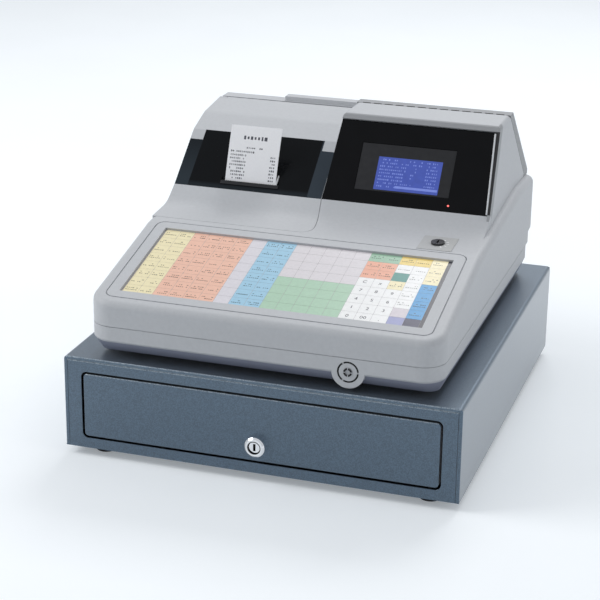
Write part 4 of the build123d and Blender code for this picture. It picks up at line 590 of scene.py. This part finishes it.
for name, node in nodes.items():
    for entry in node.material_slots:
        entry.material = finish_of_node.get(name, finish_of_slot[slot_of_node[name]])
print("finished parts:", len(nodes))

# %% [markdown]
# The floor is a plain pale sheet. Under small soft boxes its far corners would sink into grey, so
# it also glows a little, but only for the rays that show it, by way of a mirror or not: the
# register gets no light from that glow, and its shadow stays.

# %% Floor
floor_glow, floor_size = 0.26, 60.0
floor_finish = mottled("floor_sheet", 0.9, (0.80, 0.83, 0.85), (0.82, 0.85, 0.87), 6)
tree = floor_finish.node_tree
glow = math_node(tree, "MULTIPLY", seen_rays(tree), floor_glow)
shader_of(floor_finish)["Emission Color"].default_value = (0.93, 0.97, 1.0, 1)
tree.links.new(glow, shader_of(floor_finish)["Emission Strength"])
bpy.ops.mesh.primitive_plane_add(size=floor_size)
floor = bpy.context.object
floor.name = "floor"
floor.data.materials.append(floor_finish)
print("floor:", floor.name)

# %% [markdown]
# Printed keys, legends, text rows and tick marks all repeat, so small Geometry Nodes trees make
# them. Each tree has named inputs, makes its points, and ends the same way: a shape on every point,
# made real, in the tree's finish. Running a tree sets each input by its socket's identifier,
# evaluates the object once, and keeps the result as a plain mesh with the modifier gone.


# %% Trees and pieces
def start_tree(name, inputs):
    tree = bpy.data.node_groups.new(name, "GeometryNodeTree")
    for label, kind in inputs.items():
        tree.interface.new_socket(name=label, in_out="INPUT", socket_type="NodeSocket" + kind)
    tree.interface.new_socket(name="Geometry", in_out="OUTPUT", socket_type="NodeSocketGeometry")
    return tree, tree.nodes.new("NodeGroupInput").outputs


def add_vector(tree, **axes):
    return add_node(tree, "ShaderNodeCombineXYZ", "Vector", axes)


def from_start(tree, operation, start, steps, pitch):
    """A start, and so many pitches after it or before it."""
    return math_node(tree, operation, start, math_node(tree, "MULTIPLY", steps, pitch))


def end_tree(tree, given, shape, points, **more):
    """The shape on every point, made real, in the finish given."""
    spread = add_node(tree, "GeometryNodeInstanceOnPoints", "Instances",
                      {"Points": points, "Instance": shape, **more})
    real = add_node(tree, "GeometryNodeRealizeInstances", "Geometry", {"Geometry": spread})
    coloured = add_node(tree, "GeometryNodeSetMaterial", "Geometry",
                        {"Geometry": real, "Material": given["Finish"]})
    tree.links.new(coloured, tree.nodes.new("NodeGroupOutput").inputs["Geometry"])
    print(tree.name, len(tree.nodes), "nodes")


def run_tree(tree, *values):
    """The tree's mesh, for values in the order of its named inputs."""
    carrier = bpy.data.objects.new(tree.name, bpy.data.meshes.new(tree.name))
    bpy.context.scene.collection.objects.link(carrier)
    modifier = carrier.modifiers.new("pattern", "NODES")
    modifier.node_group = tree
    inputs = [item for item in tree.interface.items_tree if item.in_out == "INPUT"]
    for item, value in zip(inputs, values, strict=True):
        modifier[item.identifier] = value
    graph = bpy.context.evaluated_depsgraph_get()
    mesh = bpy.data.meshes.new_from_object(carrier.evaluated_get(graph))
    bpy.data.objects.remove(carrier)
    return mesh


def plain_mesh(name, model, materials):
    mesh = bpy.data.meshes.new(name)
    model.to_mesh(mesh)
    model.free()
    for material in materials:
        mesh.materials.append(material)
    return mesh


def join(name, meshes, body="register_and_cabinet"):
    """One finished piece from several plain meshes, riding on a body."""
    model = bmesh.new()
    materials = []
    for mesh in meshes:
        before = len(model.faces)
        model.from_mesh(mesh)
        model.faces.ensure_lookup_table()
        for face in model.faces[before:]:
            material = mesh.materials[face.material_index]
            if material not in materials:
                materials.append(material)
            face.material_index = materials.index(material)
    whole = plain_mesh(name, model, materials)
    piece = bpy.data.objects.new(name, whole)
    bpy.context.scene.collection.objects.link(piece)
    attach(piece, body)
    print(name, len(whole.polygons), "faces")


print("tree kit ready")

# %% [markdown]
# Each show face of the register is tilted: the keyboard, the lock's apron, the lid, the display. A
# small frame for each gives its middle, its upward direction and its outward one, so a pattern can
# be laid out flat, with X to the right and Y up the slope, and then placed in one step.


# %% Tilted faces
def face_frame(middle, angle):
    """A flat pattern's place: X stays, Y climbs the slope, Z stands out from it."""
    return Matrix.Translation(middle) @ Matrix.Rotation(math.radians(angle), 4, "X")


def on_face(meshes, face, x=0.0, y=0.0, out=0.0):
    """Flat meshes moved to their place on a tilted face."""
    for mesh in meshes:
        mesh.transform(face @ Matrix.Translation((x, y, out)))
    return meshes


keyboard_face = face_frame((0.0, -0.124005, 0.186280), 12.70)
apron_face = face_frame((0.1304, -0.0286, 0.204509), 4.147)
lid_face = face_frame(window_foot, 38.60)
display_face = face_frame(window_foot, window_tilt)
for label, matrix in {"keyboard": keyboard_face, "display": display_face}.items():
    print(label, "looks along", [round(value, 3) for value in matrix.col[2][:3]])

# %% [markdown]
# The keyboard is one sealed film. Its keys are only print: fields of colour with hair lines between
# them. Each field here is a plate a tenth of a millimetre thick, made as an outline with rounded
# corners, filled, raised and closed underneath, then set out in rows and columns.

# %% Key field tree
field_tree, given = start_tree("key_fields", {
    "Columns": "Int", "Rows": "Int", "Left": "Float", "Top": "Float", "Pitch X": "Float",
    "Pitch Y": "Float", "Gap": "Float", "Thickness": "Float", "Corner": "Float",
    "Finish": "Material",
})
tree = field_tree
index = add_node(tree, "GeometryNodeInputIndex", "Index", {})
column = math_node(tree, "ADD", math_node(tree, "MODULO", index, given["Columns"]), 0.5)
row = math_node(tree, "FLOOR", math_node(tree, "DIVIDE", index, given["Columns"]))
centre = add_vector(
    tree, X=from_start(tree, "ADD", given["Left"], column, given["Pitch X"]),
    Y=from_start(
        tree, "SUBTRACT", given["Top"], math_node(tree, "ADD", row, 0.5), given["Pitch Y"]))
count = math_node(tree, "MULTIPLY", given["Columns"], given["Rows"])
points = add_node(tree, "GeometryNodePoints", "Points", {"Count": count, "Position": centre})
outline = add_node(tree, "GeometryNodeCurvePrimitiveQuadrilateral", "Curve", {
    "Width": math_node(tree, "SUBTRACT", given["Pitch X"], given["Gap"]),
    "Height": math_node(tree, "SUBTRACT", given["Pitch Y"], given["Gap"]),
})
rounded = add_node(tree, "GeometryNodeFilletCurve", "Curve", {
    "Curve": outline, "Radius": given["Corner"], "Count": 2}, mode="POLY")
sheet = add_node(tree, "GeometryNodeFillCurve", "Mesh", {"Curve": rounded}, mode="NGONS")
raised = add_node(tree, "GeometryNodeExtrudeMesh", "Mesh", {
    "Mesh": sheet, "Offset Scale": given["Thickness"], "Individual": False})
under = add_node(tree, "GeometryNodeFlipFaces", "Mesh", {"Mesh": sheet})
closed = add_node(tree, "GeometryNodeJoinGeometry", "Geometry", {"Geometry": raised})
tree.links.new(under, closed.node.inputs["Geometry"])
welded = add_node(tree, "GeometryNodeMergeByDistance", "Geometry", {
    "Geometry": closed, "Distance": 0.000001})
end_tree(tree, given, welded, points)

# %% [markdown]
# The fields belong together by use: plain item keys at the left in yellow and salmon, payment and
# control keys at the right. So the layout is written as zones, each with its colour and its block
# of columns and rows, and the tree runs once for a zone. The film's satin sheet lies over the ink,
# so every ink shares the film's gloss and grain and only its colour differs.

# %% Key fields
key_columns, key_rows = 19, 8
print_left, print_right = -0.1538, 0.1506
print_height, print_top = 0.1264, 0.0632
key_pitch = ((print_right - print_left) / key_columns, print_height / key_rows)
key_gap, key_corner = 0.0003, 0.0004
film_top, ink_thickness = -0.0022, 0.0001
ink_colours = {
    "pale_yellow": (0.96, 0.86, 0.55), "salmon": (0.95, 0.58, 0.44), "lavender": (0.78, 0.75, 0.79),
    "light_blue": (0.40, 0.66, 0.83), "pink_white": (0.78, 0.74, 0.76),
    "pale_green": (0.47, 0.68, 0.51), "mid_green": (0.34, 0.56, 0.40), "orange": (0.90, 0.45, 0.31),
    "white": (0.95, 0.95, 0.94), "gold": (0.90, 0.68, 0.20), "teal": (0.080, 0.30, 0.26),
    "mauve_white": (0.70, 0.65, 0.69), "violet": (0.34, 0.36, 0.60),
    "bright_blue": (0.060, 0.34, 0.67), "dark_violet": (0.045, 0.045, 0.095),
}
# Each block is its first column and row, then how many columns and rows it has.
key_zones = {
    "pale_yellow": [(0, 0, 2, 8), (16, 3, 1, 1), (18, 0, 1, 3)],
    "salmon": [(2, 0, 4, 8)],
    "lavender": [(6, 0, 1, 8)],
    "light_blue": [(7, 0, 2, 8)],
    "pink_white": [(9, 0, 5, 4)],
    "pale_green": [(9, 4, 5, 4)],
    "mid_green": [(14, 0, 2, 1)],
    "orange": [(14, 1, 2, 2)],
    "white": [(14, 3, 2, 5), (16, 4, 1, 4), (16, 1, 2, 1), (17, 2, 1, 4)],
    "gold": [(16, 0, 2, 1)],
    "teal": [(16, 2, 1, 1)],
    "mauve_white": [(17, 6, 1, 1)],
    "violet": [(17, 7, 1, 1)],
    "bright_blue": [(18, 3, 1, 4)],
    "dark_violet": [(18, 7, 1, 1)],
}


def in_key(column, row):
    """A place on the film, in columns from the left and rows from the top."""
    return print_left + column * key_pitch[0], print_top - row * key_pitch[1]


fields = []
for colour, blocks in key_zones.items():
    ink_colour = ink_colours[colour]
    ink = mottled("ink_" + colour, 0.30, shade(ink_colour, 0.96), shade(ink_colour, 1.03), 350)
    grain(ink, 1400, 0.00001)
    for column, row, columns, rows in blocks:
        fields.append(run_tree(
            field_tree, columns, rows, *in_key(column, row), *key_pitch, key_gap, ink_thickness,
            key_corner, ink))
join("key_fields", on_face(fields, keyboard_face, out=film_top))

# %% [markdown]
# Words at this size are only rhythm: a few short strokes of uneven length. One tree makes every
# such line, on the keys, the screen and the receipt. It sets out strokes in groups and rows, leaves
# some out by chance, and varies their width and height. The seed is fixed, so each run is the same.

# %% Stroke tree
stroke_tree, given = start_tree("strokes", {
    "Groups": "Int", "Bars": "Int", "Rows": "Int", "Left": "Float", "Top": "Float",
    "Group Pitch": "Float", "Bar Pitch": "Float", "Row Pitch": "Float", "Width": "Float",
    "Height": "Float", "Thickness": "Float", "Share": "Float", "Seed": "Int", "Finish": "Material",
})
tree = stroke_tree
in_row = math_node(tree, "MULTIPLY", given["Groups"], given["Bars"])
index = add_node(tree, "GeometryNodeInputIndex", "Index", {})
row = math_node(tree, "FLOOR", math_node(tree, "DIVIDE", index, in_row))
place_in_row = math_node(tree, "MODULO", index, in_row)
group = math_node(tree, "FLOOR", math_node(tree, "DIVIDE", place_in_row, given["Bars"]))
bar_in_group = math_node(tree, "MODULO", place_in_row, given["Bars"])
group_start = math_node(tree, "MULTIPLY", group, given["Group Pitch"])
across = from_start(tree, "ADD", group_start, bar_in_group, given["Bar Pitch"])
place = add_vector(
    tree, X=math_node(tree, "ADD", given["Left"], across),
    Y=from_start(tree, "SUBTRACT", given["Top"], row, given["Row Pitch"]))
count = math_node(tree, "MULTIPLY", in_row, given["Rows"])
points = add_node(tree, "GeometryNodePoints", "Points", {"Count": count, "Position": place})
boolean_output = 3
chosen = add_node(tree, "FunctionNodeRandomValue", boolean_output, {
    "Probability": given["Share"], "Seed": given["Seed"]}, data_type="BOOLEAN")
stretch = add_node(tree, "FunctionNodeRandomValue", "Value", {
    "Min": (0.45, 0.60, 1.0), "Max": (1.0, 1.0, 1.0),
    "Seed": math_node(tree, "ADD", given["Seed"], 7)}, data_type="FLOAT_VECTOR")
size = add_vector(tree, X=given["Width"], Y=given["Height"], Z=given["Thickness"])
stroke = add_node(tree, "GeometryNodeMeshCube", "Mesh", {"Size": size})
end_tree(tree, given, stroke, points, Selection=chosen, Scale=stretch)

# %% [markdown]
# A key's legend is two short lines, the lower one nearly full and the upper one of a few strokes.
# Zones with no text are left out, and so are the white keys that carry digits.

# %% Key legends
legend_stroke, legend_pitch = (0.0020, 0.0016, 0.00005), 0.0021
legend_left, legend_strokes = 0.16, 6
legend_lines = (0.58, 0.86), (0.36, 0.34)  # how far down its key, share of strokes kept
digits_right, digits_top = 17, 3
legend_zones = (
    "pale_yellow", "salmon", "light_blue", "mid_green", "orange", "gold", "white", "bright_blue")
legend_inks = {}
for colour in legend_zones:
    dark = shade(ink_colours[colour], 0.42 if colour == "white" else 0.30)
    legend_inks[colour] = mottled("legend_on_" + colour, 0.32, dark, shade(dark, 1.25), 500)
legends = []
seed = 20
for colour, blocks in key_zones.items():
    if colour not in legend_inks:
        continue
    for column, row, columns, rows in blocks:
        if colour == "white" and column < digits_right and row >= digits_top:
            continue
        for down, share in legend_lines:
            seed += 1
            left, top = in_key(column + legend_left, row + down)
            legends.append(run_tree(
                stroke_tree, columns, legend_strokes, rows, left, top, key_pitch[0], legend_pitch,
                key_pitch[1], *legend_stroke, share, seed, legend_inks[colour]))
on_ink = film_top + ink_thickness
legends_out = on_ink + legend_stroke[2] / 2
join("key_legends", on_face(legends, keyboard_face, out=legends_out))

# %% [markdown]
# The digits are the one kind of lettering that is read at a distance. Each is a text object with a
# little thickness, turned into a mesh first and then placed in its key, so no curve is left over.

# %% Digits
digit_height, digit_thickness = 0.0068, 0.00006
digit_ink = mottled("digit_ink", 0.32, (0.03, 0.03, 0.04), (0.06, 0.06, 0.08), 500)
digit_keys = {
    "C": (14, 3), "x": (15, 3), "7": (14, 4), "8": (15, 4), "9": (16, 4), "4": (14, 5),
    "5": (15, 5), "6": (16, 5), "1": (14, 6), "2": (15, 6), "3": (16, 6), "0": (14, 7),
    "00": (15, 7), ".": (16, 7),
}


def lettering(text, height, thickness, ink):
    curve = bpy.data.curves.new("lettering", "FONT")
    curve.body = text
    curve.size = height
    curve.align_x = "CENTER"
    curve.align_y = "CENTER"
    curve.extrude = thickness / 2
    curve.resolution_u = 3
    holder = bpy.data.objects.new("lettering", curve)
    bpy.context.scene.collection.objects.link(holder)
    graph = bpy.context.evaluated_depsgraph_get()
    mesh = bpy.data.meshes.new_from_object(holder.evaluated_get(graph))
    bpy.data.objects.remove(holder)
    mesh.materials.clear()
    mesh.materials.append(ink)
    return mesh


digits = []
for text, (column, row) in digit_keys.items():
    x, y = in_key(column + 0.5, row + 0.5)
    mesh = lettering(text, digit_height, digit_thickness, digit_ink)
    digits += on_face([mesh], keyboard_face, x, y, on_ink + digit_thickness / 2)
join("key_digits", digits)

# %% [markdown]
# The display is a backlit blue panel behind the smoked sheet. The lit field is a thin plate with
# its own light, and its rows of characters are strokes of a paler blue. Emission, not a bright
# colour, makes it look lit, and its strength stays near one so that it doesn't clip.


# %% Lit screen
def lit(name, colour, strength, scale, low=0.92, high=1.05, body_share=0.25):
    material = finish(name, 0.25, coat=0.3)
    for target, share in (("Base Color", body_share), ("Emission Color", 1.0)):
        dark, light = shade(colour, share * low), shade(colour, share * high)
        mottle(material, dark, light, scale, target=target)
    shader_of(material)["Emission Strength"].default_value = strength
    return material


screen_blue = lit("screen_blue", (0.040, 0.072, 0.36), 0.9, 160)
screen_pale = lit("screen_pale", (0.16, 0.22, 0.62), 0.9, 300)
screen_place, screen_size = (0.042, 0.055), (0.070, 0.0375)
status_place, status_size = (0.0650, 0.0232), (0.0460, 0.0026)
screen_out, screen_thickness = -0.0006, 0.00015
field = run_tree(
    field_tree, 1, 1, *screen_place, *screen_size, 0.0, screen_thickness, 0.0004, screen_blue)
character = (0.0015, 0.0020, 0.00005)
column_width, row_height = 0.0021, 0.0038
# Each block: strokes in a row, rows, left, top, share kept, seed.
blocks_of_text = (
    (30, 2, 0.0455, 0.0520, 0.55, 3), (14, 5, 0.0455, 0.0444, 0.80, 4),
    (4, 7, 0.0800, 0.0444, 0.30, 9), (6, 6, 0.0965, 0.0444, 0.85, 5),
    (18, 2, 0.0455, 0.0254, 0.55, 6),
)
rows_on_screen = [
    run_tree(stroke_tree, 1, bars, lines, left, top, 0, column_width, row_height, *character,
             share, seed, screen_pale)
    for bars, lines, left, top, share, seed in blocks_of_text
]
rows_on_screen.append(run_tree(
    field_tree, 1, 1, *status_place, *status_size, 0.0, 0.00004, 0.0002, screen_pale))
rows_out = screen_out + screen_thickness + character[2] / 2
join("screen_field", on_face([field], display_face, out=screen_out))
join("screen_rows", on_face(rows_on_screen, display_face, out=rows_out))

# %% [markdown]
# A small red lamp shows that the register is on. It is a shallow lens: half an ellipse turned round
# its axis. The lathe helper turns any outline of radius and height into a closed shape.


# %% Lamp lens
def lathe(outline, steps, material):
    model = bmesh.new()
    rings = []
    for radius, height in outline:
        count = steps if radius else 1
        angles = [math.tau * step / steps for step in range(count)]
        rings.append([model.verts.new((radius * math.cos(a), radius * math.sin(a), height))
                      for a in angles])
    for lower, upper in zip(rings, rings[1:]):
        for step in range(steps):
            after = (step + 1) % steps
            corners = []
            for vert in (lower[step % len(lower)], lower[after % len(lower)],
                         upper[after % len(upper)], upper[step % len(upper)]):
                if vert not in corners:
                    corners.append(vert)
            model.faces.new(corners)
    bmesh.ops.recalc_face_normals(model, faces=model.faces)
    mesh = plain_mesh("turned", model, [material])
    for face in mesh.polygons:
        face.use_smooth = True
    return mesh


lens_radius, lens_height, lens_place = 0.0011, 0.0006, (0.1258, 0.0070)
lamp_red = lit("lamp_red", (1.0, 0.18, 0.16), 1.6, 900, 0.8, 1.0)
turns = [math.radians(angle) for angle in range(15, 91, 15)]
dome = [(lens_radius * math.sin(turn), lens_height * math.cos(turn)) for turn in turns]
lens = lathe([(0, lens_height), *dome, (0, 0)], 16, lamp_red)
join("power_lamp", on_face([lens], display_face, *lens_place))

# %% [markdown]
# A strip closes the display's right side, beside a narrow black gap. The strip is a real piece, and
# its pale colour is a painted highlight for the light along the window's rounded right edge. It
# leans inwards towards the top, so it is drawn by its four corners on the display's face, raised,
# and its long edges bevelled so that they catch a line of light. A bright wire guide at the right
# end of the paper slot, which keeps the paper straight, is made the same way on the lid.


# %% Display strip and paper guide
def bar(low_y, low_x, high_y, high_x, height, bevel, material):
    """A bevelled bar between two ends, each a Y with the X of its left and right corners."""
    model = bmesh.new()
    corners = [(low_x[0], low_y), (low_x[1], low_y), (high_x[1], high_y), (high_x[0], high_y)]
    base = model.faces.new([model.verts.new((x, y, 0)) for x, y in corners])
    top = bmesh.ops.extrude_face_region(model, geom=[base])
    for item in top["geom"]:
        if isinstance(item, bmesh.types.BMVert):
            item.co.z += height
    model.normal_update()
    rim = [edge for edge in model.edges if all(vert.co.z > height / 2 for vert in edge.verts)]
    bmesh.ops.bevel(model, geom=rim, offset=bevel, segments=3, affect="EDGES", profile=0.5)
    bmesh.ops.recalc_face_normals(model, faces=model.faces)
    return plain_mesh("bar", model, [material])


highlight_strip_and_guide = mottled("highlight_strip_and_guide", 0.36, (0.74, 0.75, 0.76), (0.82, 0.83, 0.84), 200,
                      (1, 0.05, 0.05), metallic=0.1)
# The strip's pale colour is a painted highlight.
strip = bar(0.0012, (0.1671, 0.1689), 0.0925, (0.1611, 0.1631), 0.0009, 0.0003, highlight_strip_and_guide)
guide_x = (-0.0662, -0.0653)
guide = bar(0.0104, guide_x, 0.0228, guide_x, 0.0022, 0.0002, highlight_strip_and_guide)
join("display_strip", on_face([strip], display_face))
join("paper_guide", on_face([guide], lid_face), body="printer_lid")

# %% [markdown]
# The mode lock has a position mark for each turn of the key, printed in white round its black disc.
# The marks point at the lock's middle: the tree sets points on a circle and turns each stroke by
# its own angle.

# %% Lock marks
mark_tree, given = start_tree("marks", {
    "Count": "Int", "Radius": "Float", "First": "Float", "Step": "Float", "Length": "Float",
    "Width": "Float", "Thickness": "Float", "Finish": "Material",
})
tree = mark_tree
index = add_node(tree, "GeometryNodeInputIndex", "Index", {})
angle = from_start(tree, "ADD", given["First"], index, given["Step"])
centre = add_vector(
    tree, X=math_node(tree, "MULTIPLY", math_node(tree, "COSINE", angle), given["Radius"]),
    Y=math_node(tree, "MULTIPLY", math_node(tree, "SINE", angle), given["Radius"]))
points = add_node(
    tree, "GeometryNodePoints", "Points", {"Count": given["Count"], "Position": centre})
turned = add_node(
    tree, "FunctionNodeEulerToRotation", "Rotation", {"Euler": add_vector(tree, Z=angle)})
size = add_vector(tree, X=given["Length"], Y=given["Width"], Z=given["Thickness"])
stroke = add_node(tree, "GeometryNodeMeshCube", "Mesh", {"Size": size})
end_tree(tree, given, stroke, points, Rotation=turned)

white_ink = mottled("white_ink", 0.4, (0.80, 0.80, 0.80), (0.88, 0.88, 0.88), 600)
mark_count, ring_radius, mark_size = 7, 0.0100, (0.0032, 0.0015, 0.00006)
first_mark, mark_step = math.radians(-60), math.radians(30)
on_plate = 0.00043
marks = run_tree(
    mark_tree, mark_count, ring_radius, first_mark, mark_step, *mark_size, white_ink)
join("lock_marks", on_face([marks], apron_face, out=on_plate))

# %% [markdown]
# The slip leaves the slot and bows forward under its own weight. Its print must bow with it. The
# front of the paper is read from the slip's own mesh as a line of points from the slot to the free
# end, and each printed stroke, made flat first, is moved along that line.

# %% Print on the slip
slip = nodes["receipt_slip"].data
left_edge = min(vert.co.x for vert in slip.vertices)
right_edge = max(vert.co.x for vert in slip.vertices)
side = sorted({
    (round(vert.co.z, 6), round(vert.co.y, 6))
    for vert in slip.vertices if vert.co.x < left_edge + 1e-5
})
front_line = []
for z, y in side:
    near = [other for height, other in side if abs(height - z) < 0.0008]
    if y <= min(near) + 1e-6:
        front_line.append(Vector((0, y, z)))
walked = [0.0]
for first, second in zip(front_line, front_line[1:]):
    walked.append(walked[-1] + (second - first).length)
top_of_slip = walked[-1]
print("slip front:", len(front_line), "points,", round(top_of_slip * 1000, 1), "mm")


def on_slip(mesh):
    """Y of the flat print is the way up the paper, Z stands out from its front."""
    for vert in mesh.vertices:
        along = min(max(vert.co.y, 0.0), top_of_slip - 1e-6)
        step = max(i for i, value in enumerate(walked[:-1]) if value <= along)
        start, end = front_line[step], front_line[step + 1]
        ahead = (end - start).normalized()
        out = Vector((0, -ahead.z, ahead.y))
        beside = Vector((vert.co.x, 0, 0))
        vert.co = start + ahead * (along - walked[step]) + out * vert.co.z + beside
    return mesh


thermal_ink = mottled("thermal_ink", 0.6, (0.05, 0.05, 0.07), (0.10, 0.10, 0.12), 900)
letter, title = (0.0016, 0.0021, 0.00004), (0.0034, 0.0044, 0.00004)
letter_pitch, title_pitch, item_pitch = 0.0021, 0.0040, 0.0036
item_left, price_left, item_down = left_edge + 0.0035, right_edge - 0.0085, 0.0325
# Each block: strokes in a row, rows, left, how far down, pitch, size, share kept, seed.
receipt_blocks = (
    (7, 1, left_edge + 0.0170, 0.0130, title_pitch, title, 1.0, 30),
    (9, 1, left_edge + 0.0210, 0.0240, letter_pitch, letter, 0.9, 31),
    (13, 1, item_left, 0.0285, letter_pitch, letter, 0.9, 32),
    (9, 8, item_left, item_down, letter_pitch, letter, 0.78, 33),
    (3, 8, price_left, item_down, letter_pitch, letter, 0.9, 35),
)
printed = [
    on_slip(run_tree(stroke_tree, 1, bars, lines, left, top_of_slip - down, 0, pitch, item_pitch,
                     *stroke_size, share, seed, thermal_ink))
    for bars, lines, left, down, pitch, stroke_size, share, seed in receipt_blocks
]
join("receipt_print", printed, body="printer_lid")
